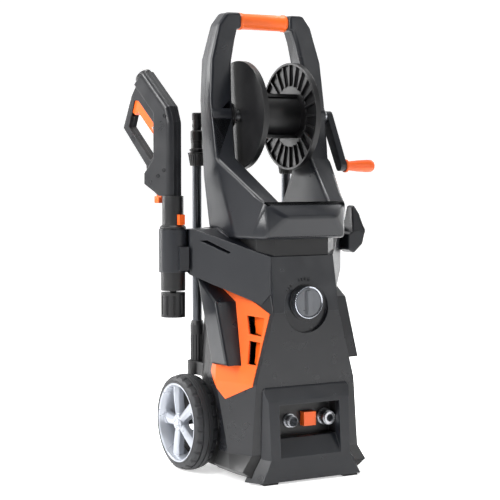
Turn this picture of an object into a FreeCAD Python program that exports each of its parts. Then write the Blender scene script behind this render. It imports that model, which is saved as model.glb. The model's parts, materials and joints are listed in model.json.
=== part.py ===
import FreeCAD, Part
import os
import re
import Sketcher
from FreeCAD import Placement, Rotation, Vector

# Upright pressure washer. Millimetres. X runs across (gun side negative), Y runs back, Z up.
# The machine's own frame has X = 0 on the symmetry plane, Y = 0 on the reel axis and Z = 0 on the
# floor; origin_x and origin_y move the finished pieces so that the origin is under the middle.

doc = FreeCAD.newDocument("pressure_washer")
sheet = doc.addObject("Spreadsheet::Sheet", "Sheet")

SIZES = {
    # general
    "origin_x": -12.4, "origin_y": -18.0,
    "wall": 3.0, "gap": 0.5, "slip": 0.05, "sink": 1.0, "reach": 400.0,
    # wheels
    "wheel_radius": 91.7, "wheel_outer_half": 178.0, "tyre_width": 48.0, "tyre_height": 16.7,
    "tyre_bead": 2.0, "tyre_shoulder": 3.0,
    "rim_lip": 4.0, "rim_lip_width": 3.0, "rim_band_step": 2.0, "rim_depth": 40.0, "tread_crown": 6.0,
    "wheel_y": 32.0, "axle_radius": 6.0,
    "hub_radius": 17.0, "hub_proud": 1.0, "spoke_count": 5, "spoke_root": 3.0, "spoke_width": 16.0,
    "spoke_tip_half": 12.0, "spoke_thick": 9.0, "axle_end_gap": 1.0,
    "cap_radius": 13.0, "cap_thick": 3.0, "arch_gap": 12.0, "arch_half": 118.0,
    # body shell, half outlines at six heights
    "sill_z": 12.0, "sill_front_half": 116.0, "sill_front_y": -150.0, "sill_side_half": 122.0,
    "sill_side_y": -108.0, "sill_hip_half": 122.0, "sill_hip_y": 55.0, "sill_back_half": 104.0,
    "skirt_z": 24.0, "skirt_front_half": 134.0, "skirt_front_y": -149.0, "skirt_side_half": 138.0,
    "skirt_side_y": -108.0, "skirt_hip_half": 138.0, "skirt_hip_y": 60.0, "skirt_back_half": 112.0,
    "brow_z": 52.0, "brow_front_half": 115.0, "brow_front_y": -150.0, "brow_side_half": 136.0,
    "brow_side_y": -100.0, "brow_hip_half": 136.0, "brow_hip_y": 55.0, "brow_back_half": 112.0,
    "flare_z": 182.0, "flare_front_half": 105.7, "flare_front_y": -150.0, "flare_side_half": 140.7,
    "flare_side_y": -60.0, "flare_hip_half": 132.0, "flare_hip_y": 0.0, "flare_back_half": 100.0,
    "waist_z": 310.0, "waist_front_half": 70.4, "waist_front_y": -153.0, "waist_side_half": 118.3,
    "waist_side_y": -30.0, "waist_hip_half": 116.0, "waist_hip_y": 15.0, "waist_back_half": 94.0,
    "crown_z": 385.0, "crown_front_half": 56.0, "crown_front_y": -138.0, "crown_side_half": 109.0,
    "crown_side_y": 0.0, "crown_hip_half": 106.0, "crown_hip_y": 30.0, "crown_back_half": 90.0,
    "back_y": 72.0, "split_y": -20.0,
    # shoulder cover with its two arms
    "shoulder_front_half": 67.5, "shoulder_front_y": -136.0, "shoulder_front_z": 413.0,
    "crest_y": -16.0, "crest_z": 461.0, "arm_half": 168.0, "arm_front_y": -8.0, "arm_back_y": 14.0,
    "arm_root_half": 112.0, "arm_root_y": 46.0, "arm_low_y": 3.0, "arm_low_z": 381.0,
    # neck between shoulder cover and handle frame
    "neck_front_half": 58.0, "neck_front_y": -134.0, "neck_mid_half": 84.0, "neck_mid_y": -112.0,
    "neck_back_half": 102.0, "neck_back_y": 16.0, "neck_low": 400.0, "neck_top": 468.0,
    # handle and reel frame
    "frame_top": 869.0, "frame_top_half": 84.0, "frame_bend_half": 102.0, "frame_bend_drop": 23.0,
    "frame_upper_half": 121.0, "frame_upper_drop": 90.0, "frame_wide_half": 127.0,
    "frame_wide_rise": 28.5,
    "frame_low_half": 124.0, "frame_low_z": 558.0, "frame_foot_half": 110.0, "frame_foot_z": 445.0,
    "hand_top_drop": 31.0, "hand_top_half": 60.0, "hand_bend_half": 67.0, "hand_bend_drop": 51.0,
    "hand_mid_half": 78.0, "hand_mid_drop": 99.0, "hand_low_half": 82.0, "hand_low_drop": 79.5,
    "hand_floor_half": 50.0, "hand_floor_drop": 166.5,
    "bar_front_y": -172.0, "bar_front_z": 486.0, "bar_under_y": -147.0, "bar_top_y": -150.0,
    "bar_half": 51.5, "bar_corner_half": 84.0, "bar_corner_y": -151.0, "bar_flank_half": 97.0,
    "bar_flank_y": -118.0, "frame_knee_y": -32.0, "frame_arm_front_y": -14.0, "frame_grip_front_y": -3.0,
    "frame_grip_back_y": 35.0, "frame_arm_back_y": 30.0, "frame_low_back_y": 22.0, "frame_split_y": 10.0,
    "grip_half": 52.5, "grip_radius": 16.4, "grip_y": 16.0, "grip_drop": 15.0, "tube_radius": 9.0,
    "tube_half": 72.0,
    # hose reel
    "reel_drop": 194.5, "flange_radius": 103.0, "flange_half": 58.0, "flange_thick": 4.0,
    "lip_depth": 7.0,
    "lip_thick": 4.0, "boss_radius": 59.0, "boss_depth": 3.0, "rib_count": 24, "rib_thick": 3.0,
    "rib_depth": 5.0, "drum_radius": 42.0, "ledge_depth": 6.0, "ledge_width": 26.0,
    "reel_axle_radius": 12.0, "bearing_radius": 18.0, "bearing_flange_radius": 24.0,
    "crank_half": 134.0, "crank_thick": 13.0, "crank_length": 109.0, "crank_width": 24.0,
    "crank_tip_width": 20.0, "crank_angle": 151.3,
    "knob_length": 66.0, "knob_radius": 13.0, "knob_neck_radius": 11.0, "knob_pin_radius": 4.0,
    "knob_flange": 5.0, "knob_taper": 3.0, "knob_dome": 4.0, "knob_dome_length": 6.0,
    "knob_end_bore": 2.0, "knob_end_wall": 3.0,
    # switch
    "switch_z": 328.5, "switch_radius": 30.4, "skirt_lip": 2.6, "switch_height": 17.0,
    "dish_margin": 16.6, "dish_drop": 9.5, "dish_depth": 7.0, "spindle_radius": 4.0,
    "spindle_length": 30.0, "switch_block_half": 20.0, "switch_block_rise": 18.0,
    "switch_block_depth": 45.0,
    "ring_width": 4.4, "grip_bar_width": 9.0,
    # connector recess and its raised surround
    "bezel_front_y": -176.0, "bezel_back_y": -140.0, "bezel_top": 172.0, "bezel_half": 79.0,
    "bezel_knee_half": 82.0, "bezel_knee_z": 43.0, "bezel_foot_half": 105.0, "bezel_bottom": 4.0,
    "bezel_spread": 20.0, "bezel_corner": 8.0, "bezel_lift_top": 0.4, "bezel_lift_knee": 0.2,
    "bezel_brow_y": -152.0, "bezel_chin_y": -163.0, "bezel_chin_z": 150.0,
    "bezel_lip_y": -174.0, "recess_half": 65.0, "recess_low": 80.0, "recess_high": 143.0,
    "recess_back_y": -128.0, "tray_lip_y": -170.5, "tray_shelf_y": -150.0,
    "inlet_x": -23.0, "inlet_z": 107.0, "inlet_radius": 13.0, "inlet_bore": 9.0,
    "outlet_x": 53.0, "outlet_z": 109.0, "outlet_radius": 15.5, "outlet_bore": 7.0,
    "fitting_step": 2.0, "fitting_nose": 4.0, "fitting_nose_step": 3.5, "inlet_length": 23.0,
    "outlet_length": 29.0, "pipe_wall": 3.0, "button_x": 15.0, "button_width": 26.0,
    "button_height": 26.0, "button_proud": 13.0,
    # cover screws
    "screw_high_x": 62.0, "screw_high_z": 340.0, "screw_mid_x": 78.0, "screw_mid_z": 215.0,
    "screw_low_x": 78.0, "screw_low_z": 100.0, "screw_length": 4.0, "screw_radius": 2.0,
    "screw_head_radius": 4.5, "screw_head_thick": 2.5,
    # vents and wings
    "vent_proud": 1.0, "vent_sunk": 1.8, "wing_half": 145.0, "wing_round": 5.0,
    # feet
    "foot_half": 86.0, "foot_length": 30.0, "foot_y": -156.0, "foot_top": 11.0,
    # gun: u runs from the spine towards the trigger guard, measured from the barrel axis
    "gun_out": 22.0, "gun_y": 17.0, "gun_turn": 108.0, "gun_half": 17.5, "guard_half": 10.0,
    "holster_wall": 2.9, "holster_gap": 0.8, "holster_low": 380.5, "holster_high": 461.0,
    "barrel_radius": 22.8, "barrel_flange": 9.0, "barrel_flange_thick": 4.5, "sleeve_step": 2.8,
    "sleeve_wall": 9.5, "sleeve_socket": 20.0, "sleeve_socket_deep": 30.0, "jet_bore": 3.0,
    "cuff_inset": 2.0, "cuff_thick": 4.0, "cuff_taper": 4.0, "barrel_low": 346.0, "sleeve_top": 523.0,
    "nut_low": 296.0, "nut_high": 342.0, "nut_step": 0.2, "nut_wall": 8.0, "nut_plate": 6.0,
    "nut_hole": 6.0, "nut_flute_count": 10, "nut_flute_radius": 2.2, "nut_flute_end": 5.0,
    "gun_round": 12.0,
    "valve_half": 9.0, "valve_side": 8.0, "valve_low": 560.0, "valve_high": 650.0, "trigger_half": 7.5,
    "pin_radius": 2.5, "pin_u": 38.0, "pin_z": 650.0, "hose_radius": 12.0, "hose_bore": 5.0,
    "hose_neck": 14.0, "hose_ridge": 5.0, "hose_step": 2.0, "hose_length": 24.0, "hose_u": 65.0,
    "hose_z": 736.0, "hose_hole_length": 40.0,
    "lock_front": 25.0, "lock_back": 38.0, "lock_low": 520.0, "lock_high": 536.0, "lock_half": 5.5,
    "lock_tip_front": 32.0, "lock_tip_back": 44.0, "lock_tip_low": 509.0, "lock_tip_high": 522.0,
    "lock_room": 1.0, "lock_room_front": 3.0, "lock_room_back": 4.0, "lock_room_low": 2.0,
    "lock_room_high": 5.0, "lock_u": 29.0, "lock_z": 533.0, "lock_pivot": 2.0, "lock_pivot_half": 9.0,
    "button_half": 7.0, "button_length": 20.0, "button_pocket": 9.0, "button_seat": 13.0,
    "button_out": 5.0,
    "pad_left": 2.0, "pad_right": 18.0, "pad_proud": 5.0, "pad_deep": 12.0, "pad_low": 4.0,
    "pad_high": 48.0,
    # lances
    "lance_x": 101.0, "lance_out": 18.0, "lance_radius": 9.0, "lance_low": 262.0, "lance_top": 600.0,
    "collar_low": 579.0, "collar_high": 617.0, "collar_radius": 18.0, "collar_wall": 4.0,
    "collar_step": 6.0, "collar_rim": 5.0, "nipple_length": 24.0, "nipple_step": 2.0, "nipple_top": 682.0,
    "nozzle_low": 177.0, "nozzle_radius": 13.5, "turbo_radius": 16.5, "turbo_neck": 26.0,
    "turbo_shoulder": 40.0, "turbo_top": 8.0, "nozzle_tip": 3.0, "nozzle_bevel": 1.0,
    "nozzle_bevel_high": 8.0, "nozzle_body_high": 20.0, "nozzle_cone_low": 8.0, "nozzle_cone_high": 16.0,
    "nozzle_cone_step": 2.0, "nozzle_flute_count": 12, "nozzle_flute_radius": 2.0,
    "nozzle_flute_out": 1.0, "nozzle_flute_low": 24.0, "nozzle_flute_length": 50.0, "lance_drop": 16.0,
    "clip_z": 408.0, "clip_height": 26.0, "clip_radius": 14.0, "clip_mouth_half": 7.5, "cup_wall": 3.0,
    "cup_height": 26.0,
    # cord hook
    "hook_front_y": -46.0, "hook_back_y": -6.0,
    # cable gland
    "gland_radius": 9.0, "gland_bore": 4.0, "gland_flange": 4.0, "gland_cone": 3.0, "gland_x": 60.0,
    "gland_z": 150.0,
    # motor and pump
    "motor_x": 0.0, "motor_y": -58.0, "motor_low": 175.0, "motor_high": 285.0, "motor_radius": 58.0,
    "stator_bore": 34.0, "rotor_radius": 33.0, "shaft_radius": 7.0, "fan_radius": 50.0, "fan_z": 294.0,
    "fan_disc": 2.0, "fan_hub_radius": 16.0, "fan_high": 12.0, "blade_root": 14.0, "blade_half": 1.0,
    "blade_count": 9,
    "pump_radius": 44.0, "plate_radius": 30.0, "plate_low": 158.0, "plate_thick": 8.0,
    "plate_room": 4.0, "plate_room_low": 10.0,
}
# Places and sizes that follow from the ones above.
DERIVED = {
    "sky": "frame_top + reach", "rim_radius": "wheel_radius - tyre_height",
    "frame_bend_z": "frame_top - frame_bend_drop", "frame_upper_z": "frame_top - frame_upper_drop",
    "hand_top": "frame_top - hand_top_drop", "hand_bend_z": "frame_top - hand_bend_drop",
    "hand_mid_z": "frame_top - hand_mid_drop", "grip_z": "frame_top - grip_drop",
    "reel_z": "frame_top - reel_drop", "frame_wide_z": "reel_z + frame_wide_rise",
    "hand_low_z": "reel_z - hand_low_drop", "hand_floor_z": "reel_z - hand_floor_drop",
    "dish_y": "waist_front_y + dish_depth", "dish_radius": "switch_radius + dish_margin",
    "switch_face_y": "dish_y - switch_height", "switch_skirt_radius": "switch_radius + skirt_lip",
    "gun_x": "-arm_half - gun_out", "holster_bore": "barrel_radius + holster_gap",
    "holster_radius": "holster_bore + holster_wall", "sleeve_radius": "barrel_radius - sleeve_step",
    "nut_radius": "barrel_radius - nut_step", "lance_y": "back_y + lance_out",
}

# Corners of the irregular outlines. The vent, its windows, the wing and the slot lie in side view
# (y, z). The gun's outlines lie in its own plane (u, z). The hook lies in front view, outwards
# from the arm's end.
CORNERS = {
    "vent": {
        "tip": (2, 381), "brow": (-145, 309), "cheek": (-143, 178), "chin": (-85, 150),
        "heel": (-32, 196),
        "toe": (-35, 210), "sill": (-110, 213), "bend": (-66, 325), "tail": (-24, 348)},
    "high_window": {"back": (-96, 304), "front": (-136, 301), "low": (-139, 268), "inner": (-110, 271)},
    "low_window": {"back": (-114, 259), "front": (-140, 257), "low": (-142, 216), "inner": (-122, 217)},
    "wing": {"front": (-109, 214), "back": (-50, 212), "tip": (7, 371), "brow": (-65, 327)},
    "slot": {"tip": (-24, 440), "top": (-36, 441), "foot": (-74, 420), "heel": (-70, 417)},
    "gun": {
        "root": (-12, "sleeve_top"), "spine": (-12, 660), "hump": (-3, 690), "crown": (62, 757),
        "end": (87, 733), "guard_top": (101, 712), "guard": (124, 652), "guard_low": (61, 580),
        "chest": (59, 545), "throat": (33, 531), "neck": (21, "sleeve_top")},
    "grip": {
        "root": (-12, "sleeve_top"), "spine": (-12, 660), "hump": (-3, 690), "crown": (62, 757),
        "end": (86, 733), "palm": (34, 678), "palm_low": (34, 592), "chest_top": (59, 565),
        "chest": (59, 545), "throat": (33, 531), "neck": (21, "sleeve_top")},
    "finger_gap": {
        "low": (34, 600), "mid": (34, 652), "high": (82, 702), "top": (93, 704), "guard": (109, 654),
        "foot": (50, 590)},
    "trigger": {
        "foot": (39, 640), "heel": (31, 650), "back": (33, 668), "high": (80, 717), "top": (93, 706),
        "tip": (101, 682), "hook": (94, 676), "notch": (86, 682), "front": (46, 640)},
    "pocket": {
        "foot": (46, 630), "heel": (24, 640), "back": (26, 682), "high": (72, 729), "top": (100, 712),
        "tip": (109, 680), "front": (92, 664)},
    "hook": {
        "root_low": (-6, 416), "low": (8, 408), "belly": (28, 426), "outside": (34, 452),
        "shoulder": (30, 484), "tip_out": (22, 502), "tip_in": (15, 500), "inside": (8, 468),
        "bight": (4, 450), "root_top": (-6, 446)},
    "hook_taper": {"low": (0, 400), "knee": (-2, 446), "top": (22, 503)},
}
OUTLINES = {}
for shape, spots in CORNERS.items():
    OUTLINES[shape] = []
    for corner, pair in spots.items():
        texts = []
        for way, number in zip(("across", "along"), pair):
            texts.append(number if isinstance(number, str) else f"{shape}_{corner}_{way}")
            if texts[-1] != number:
                SIZES[texts[-1]] = float(number)
        OUTLINES[shape].append(tuple(texts))

for row, (alias, number) in enumerate(SIZES.items(), start=1):
    sheet.set(f"A{row}", alias)
    sheet.set(f"B{row}", str(number))
    sheet.setAlias(f"B{row}", alias)
doc.recompute()

probe = doc.addObject("Part::Vertex", "Probe")
NODES = {}
PLANE_AXIS = {"YZ_Plane": "x", "XZ_Plane": "y", "XY_Plane": "z"}
TURNS = {
    "x": Rotation(),
    "y": Rotation(Vector(0, 0, 1), 90),
    "-y": Rotation(Vector(0, 0, 1), -90),
    "z": Rotation(Vector(0, 1, 0), -90),
}


# ---- helpers ----

def size(text):
    """An expression in which each name is looked up in the sheet, or worked out from it."""
    return re.sub(r"[a-z][a-z_0-9]*", lambda word: sheet_word(word.group()), str(text))


def sheet_word(word):
    if word in DERIVED:
        return f"({size(DERIVED[word])})"
    return f"Sheet.{word}" if word in SIZES else word


def value(text):
    """The number that an expression gives now."""
    probe.setExpression("X", size(text))
    probe.recompute()
    return probe.X.Value


def place(thing, at=("0", "0", "0"), turn=None):
    """Puts a piece at a position given by three expressions, turned by a fixed rotation."""
    thing.Placement = Placement(Vector(), turn or Rotation())
    for letter, text in zip("xyz", at):
        thing.setExpression(f"Placement.Base.{letter}", size(text))
    return thing


def node(name, thing):
    """Names a finished sub-part."""
    thing.Label = name
    NODES[name] = thing
    return thing


def box(name, low, high):
    """A box between two corners, each three expressions."""
    block = doc.addObject("Part::Box", name)
    for prop, start, end in zip(("Length", "Width", "Height"), low, high):
        block.setExpression(prop, size(f"({end}) - ({start})"))
    return place(block, low)


def cylinder(name, radius, start, end, axis="z", at=("0", "0")):
    """A cylinder from start to end along an axis; at gives the other two coordinates in order."""
    rod = doc.addObject("Part::Cylinder", name)
    rod.setExpression("Radius", size(radius))
    rod.setExpression("Height", size(f"({end}) - ({start})"))
    turns = {"x": Rotation(Vector(0, 1, 0), 90), "y": Rotation(Vector(1, 0, 0), -90), "z": Rotation()}
    spot = {"x": (start, *at), "y": (at[0], start, at[1]), "z": (*at, start)}[axis]
    return place(rod, spot, turns[axis])


def cut(name, base, *tools):
    """The base with each tool taken away."""
    for count, tool in enumerate(tools):
        step = doc.addObject("Part::Cut", f"{name}_cut{count}")
        step.Base, step.Tool = base, tool
        base = step
    return base


def fuse(name, *parts):
    union = doc.addObject("Part::MultiFuse", name)
    union.Shapes = list(parts)
    return union


def common(name, *parts):
    shared = doc.addObject("Part::MultiCommon", name)
    shared.Shapes = list(parts)
    return shared


def group(name, *parts):
    """Pieces kept side by side in one placeable group."""
    holder = doc.addObject("Part::Compound", name)
    holder.Links = list(parts)
    return holder


def mirrored(name, source):
    """The same piece on the other side of the symmetry plane."""
    copy = doc.addObject("Part::Mirroring", name)
    copy.Source = source
    copy.Normal = Vector(1, 0, 0)
    return copy


def outline(owner, name, points):
    """Fills a sketch with a closed outline whose corners are bound to expressions."""
    corners = [Vector(value(across), value(along), 0) for across, along in points]
    total = len(corners)
    owner.addGeometry([Part.LineSegment(corners[i], corners[(i + 1) % total]) for i in range(total)])
    for i in range(total):
        owner.addConstraint(Sketcher.Constraint("Coincident", i, 2, (i + 1) % total, 1))
    for i, texts in enumerate(points):
        for kind, text, number in zip(("DistanceX", "DistanceY"), texts, (corners[i].x, corners[i].y)):
            index = owner.addConstraint(Sketcher.Constraint(kind, i, 1, number))
            owner.renameConstraint(index, f"{kind}{i}")
            owner.setExpression(f"Constraints.{kind}{i}", size(text))
    return owner


def body_sketch(name, plane, points):
    """A new body with one sketch on one of its origin planes."""
    body = doc.addObject("PartDesign::Body", name)
    sketch = body.newObject("Sketcher::SketchObject", f"{name}_outline")
    origin_plane = next(item for item in body.Origin.OriginFeatures if item.Role == plane)
    sketch.AttachmentSupport = (origin_plane, [""])
    sketch.MapMode = "FlatFace"
    return body, outline(sketch, name, points)


def prism(name, plane, points, start, end):
    """An outline on a plane, padded along that plane's axis from start to end."""
    body, sketch = body_sketch(name, plane, points)
    pad = body.newObject("PartDesign::Pad", f"{name}_pad")
    pad.Profile = sketch
    pad.Reversed = plane == "XZ_Plane"
    pad.setExpression("Length", size(f"({end}) - ({start})"))
    body.setExpression(f"Placement.Base.{PLANE_AXIS[plane]}", size(start))
    return body


def turned(name, points, axis="z", at=("0", "0", "0")):
    """A turned piece: points are (distance along the axis, radius)."""
    body, sketch = body_sketch(name, "XY_Plane", points)
    turn = body.newObject("PartDesign::Revolution", f"{name}_turn")
    turn.Profile = sketch
    turn.ReferenceAxis = (sketch, ["H_Axis"])
    turn.Angle = 360
    return place(body, at, TURNS[axis])


def rounded(name, base, radius, choose):
    """Rounds the edges that choose(edge) picks."""
    doc.recompute()
    smooth = doc.addObject("Part::Fillet", name)
    smooth.Base = base
    amount = value(radius)
    edges = enumerate(base.Shape.Edges, start=1)
    smooth.Edges = [(number, amount, amount) for number, edge in edges if choose(edge)]
    return smooth


def ring_of(name, count, make):
    """Several copies spaced evenly round an axis."""
    return fuse(name, *[make(number, 360.0 * number / count) for number in range(count)])


# ---- body shell ----

LEVELS = ("sill", "skirt", "brow", "flare", "waist", "crown")


def shell_loft(name, inset):
    """The body's outer form, drawn in by inset on every side."""
    sections = []
    for level in LEVELS:
        half = [
            (f"{level}_front_half - {inset}", f"{level}_front_y + {inset}"),
            (f"{level}_side_half - {inset}", f"{level}_side_y"),
            (f"{level}_hip_half - {inset}", f"{level}_hip_y"),
            (f"{level}_back_half - {inset}", f"back_y - {inset}"),
        ]
        points = half + [(f"-({across})", along) for across, along in reversed(half)]
        sketch = doc.addObject("Sketcher::SketchObject", f"{name}_{level}")
        outline(sketch, name, points)
        lift = {"sill": f" + {inset}", "crown": f" - {inset}"}.get(level, "")
        sections.append(place(sketch, ("0", "0", f"{level}_z{lift}")))
    loft = doc.addObject("Part::Loft", name)
    loft.Sections = sections
    loft.Solid = True
    loft.Ruled = True
    return loft


def arches(name, grow):
    """The two wheel arches."""
    radius = f"wheel_radius + arch_gap + {grow}"
    spot = ("wheel_y", "wheel_radius")
    left = cylinder(f"{name}_left", radius, "-reach", f"-arch_half + {grow}", "x", spot)
    right = cylinder(f"{name}_right", radius, f"arch_half - {grow}", "reach", "x", spot)
    return fuse(name, left, right)


shell_outer = shell_loft("shell_outer", "0")
shell_inner = shell_loft("shell_inner", "wall")
arch_cut = arches("arch_cut", "0")
cavity = cut("cavity", shell_inner, arches("arch_lining", "wall"))

SHOULDER_SIDE = [
    ("waist_front_y", "waist_z"), ("shoulder_front_y", "shoulder_front_z"), ("crest_y", "crest_z"),
    ("back_y", "crest_z"), ("back_y", "arm_low_z"), ("arm_low_y", "arm_low_z"),
]
SHOULDER_INSIDE = [
    ("waist_front_y + wall", "waist_z - wall"),
    ("shoulder_front_y + wall", "shoulder_front_z - wall"), ("crest_y", "crest_z - wall"),
    ("back_y - wall", "crest_z - wall"), ("back_y - wall", "waist_z - wall"),
]


def shoulder_plan(inset):
    half = [
        (f"waist_front_half - {inset}", "waist_front_y - 1"),
        (f"shoulder_front_half - {inset}", "shoulder_front_y"),
        (f"arm_half - 2 * {inset}", "arm_front_y"), (f"arm_half - 2 * {inset}", f"arm_back_y - {inset}"),
        (f"arm_root_half - {inset}", f"arm_root_y - {inset}"), (f"crown_back_half - {inset}", "back_y"),
    ]
    return half + [(f"-({across})", along) for across, along in reversed(half)]


shoulder_outer = common(
    "shoulder_outer",
    prism("shoulder_plan", "XY_Plane", shoulder_plan("0"), "waist_z", "crest_z"),
    prism("shoulder_side", "YZ_Plane", SHOULDER_SIDE, "-reach / 2", "reach / 2"))
shoulder_inner = common(
    "shoulder_inner",
    prism("shoulder_plan_in", "XY_Plane", shoulder_plan("wall"), "waist_z - wall", "crest_z - wall"),
    prism("shoulder_side_in", "YZ_Plane", SHOULDER_INSIDE, "-arm_root_half + wall",
          "arm_root_half - wall"))
shell_outer_and_shoulder = fuse("shell_outer_and_shoulder", shell_outer, shoulder_outer)
dish_cut = cylinder("dish_cut", "dish_radius", "-reach", "dish_y", "y", ("0", "switch_z - dish_drop"))
dish_floor = common(
    "dish_floor", shell_outer_and_shoulder,
    cylinder("dish_plate", "dish_radius + wall", "-reach", "dish_y + wall", "y",
             ("0", "switch_z - dish_drop")))
spindle_hole = cylinder("spindle_hole", "spindle_radius + slip", "-reach", "0", "y", ("0", "switch_z"))
recess_cut = box("recess_cut", ("-recess_half - wall", "-reach", "recess_low - wall"),
                 ("recess_half + wall", "recess_back_y + wall", "recess_high + wall"))

# The orange vent panel lies on the body's side; its outline is drawn in side view.
vent_band = cut("vent_band", shell_loft("vent_skin", "-vent_proud"),
                shell_loft("vent_floor", "vent_sunk"))
vent_blank = common("vent_blank", vent_band,
                    prism("vent_outline", "YZ_Plane", OUTLINES["vent"], "-reach / 2", "-wall"))
vent_windows = fuse("vent_windows", *[
    prism(name, "YZ_Plane", OUTLINES[name], "-reach / 2", "-waist_front_half + 2 * wall")
    for name in ("high_window", "low_window")])
vent_left = cut("vent_left", vent_blank, shoulder_outer, vent_windows)
node("vent_panel_left", vent_left)
node("vent_panel_right", mirrored("vent_right", vent_left))

wing_block = rounded("wing_block", prism("wing_prism", "YZ_Plane", OUTLINES["wing"], "-wing_half",
                                         "-waist_front_half"),
                     "wing_round", lambda edge: edge.BoundBox.XMax < -value("wing_half") + 1)
wing_left = cut("wing_left", wing_block, shell_loft("wing_floor", "vent_sunk"), vent_blank,
                shoulder_outer)
node("side_wing_left", wing_left)
node("side_wing_right", mirrored("wing_right", wing_left))

side_pockets = fuse("side_pockets", vent_blank, mirrored("vent_blank_right", vent_blank), wing_left,
                    mirrored("wing_pocket_right", wing_left), vent_windows,
                    mirrored("vent_windows_right", vent_windows))
body_shell = cut("body_shell", shell_outer, cavity, arch_cut, side_pockets, shoulder_outer, recess_cut)
feet_cut = fuse("feet_cut", *[
    box(f"foot_{side}", (f"{sign} * foot_half - foot_length / 2", "foot_y - foot_length / 2", "0"),
        (f"{sign} * foot_half + foot_length / 2", "foot_y + foot_length / 2", "foot_top"))
    for side, sign in (("left", "-1"), ("right", "1"))])
axle_hole = cylinder("axle_hole", "axle_radius", "-wheel_outer_half", "wheel_outer_half", "x",
                     ("wheel_y", "wheel_radius"))

# Two ribs inside the base tray carry the axle.
axle_ribs = fuse("axle_ribs", *[
    box(f"axle_rib_{side}", (f"{x} - wall", "wheel_y - hub_radius", "sill_z"),
        (f"{x} + wall", "wheel_y + hub_radius", "wheel_radius + hub_radius"))
    for side, x in (("left", "-arch_half + 4 * wall"), ("right", "arch_half - 4 * wall"))])
SCREW_SPOTS = [(f"{sign}screw_{row}_x", f"screw_{row}_z") for row in ("high", "mid", "low")
               for sign in ("-", "")]
ABOVE_TRAY = ("-reach", "-reach", "brow_z")
tray_half = common("tray_half", body_shell, box("tray_box", ("-reach", "-reach", "0"),
                                                ("reach", "reach", "brow_z")))
base_tray = cut("base_tray", fuse("tray_ribbed", tray_half, axle_ribs), axle_hole, feet_cut)
node("base_tray", base_tray)

front_half = common("front_half", body_shell, box("front_box", ABOVE_TRAY, ("reach", "split_y", "reach")))
dish_low = cut("dish_low", dish_floor, shoulder_outer)
node("front_cover", cut("front_cover", fuse("front_dished", front_half, dish_low), dish_cut, spindle_hole,
                        axle_ribs))
back_box = box("back_box", ("-reach", "split_y", "brow_z"), ("reach", "reach", "reach"))
back_half = common("back_half", body_shell, back_box)
gland_hole = cylinder("gland_hole", "gland_radius", "0", "reach", "y", ("gland_x", "gland_z"))
cover_screws = fuse("cover_screws", *[
    turned(f"screw{number}", [
        ("-screw_length", "0"), ("-screw_length", "screw_radius"), ("0", "screw_radius"),
        ("0", "screw_head_radius"), ("screw_head_thick", "screw_head_radius"), ("screw_head_thick", "0")],
           "y", (across, "back_y", up))
    for number, (across, up) in enumerate(SCREW_SPOTS)])
node("rear_cover", cut("rear_cover", back_half, gland_hole, axle_hole, axle_ribs, cover_screws))
node("cover_screws", cover_screws)

# ---- shoulder cover ----

arm_slot = prism("arm_slot", "YZ_Plane", OUTLINES["slot"],
                 "-arm_half", "-shoulder_front_half")
arm_slots = fuse("arm_slots", arm_slot, mirrored("arm_slot_right", arm_slot))
holster_seat = cylinder("holster_seat", "holster_radius", "holster_low - 1", "holster_high + 1", "z",
                        ("gun_x", "gun_y"))
shoulder_hollow = cut("shoulder_hollow", shoulder_outer, shoulder_inner)
shoulder_shell = fuse("shoulder_shell", shoulder_hollow, common("dish_high", dish_floor, shoulder_outer))
node("shoulder_cover", cut("shoulder_cover", shoulder_shell, dish_cut, spindle_hole, holster_seat,
                           arm_slots))

# ---- neck ----

neck_half = [("neck_front_half", "neck_front_y"), ("neck_mid_half", "neck_mid_y"),
             ("neck_back_half", "-neck_back_y"), ("neck_back_half", "neck_back_y")]
neck_block = prism("neck_block", "XY_Plane",
                   neck_half + [(f"-{across}", along) for across, along in reversed(neck_half)],
                   "neck_low", "neck_top")

# ---- handle and reel frame: front view, side view and plan view meet in one form ----

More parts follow.
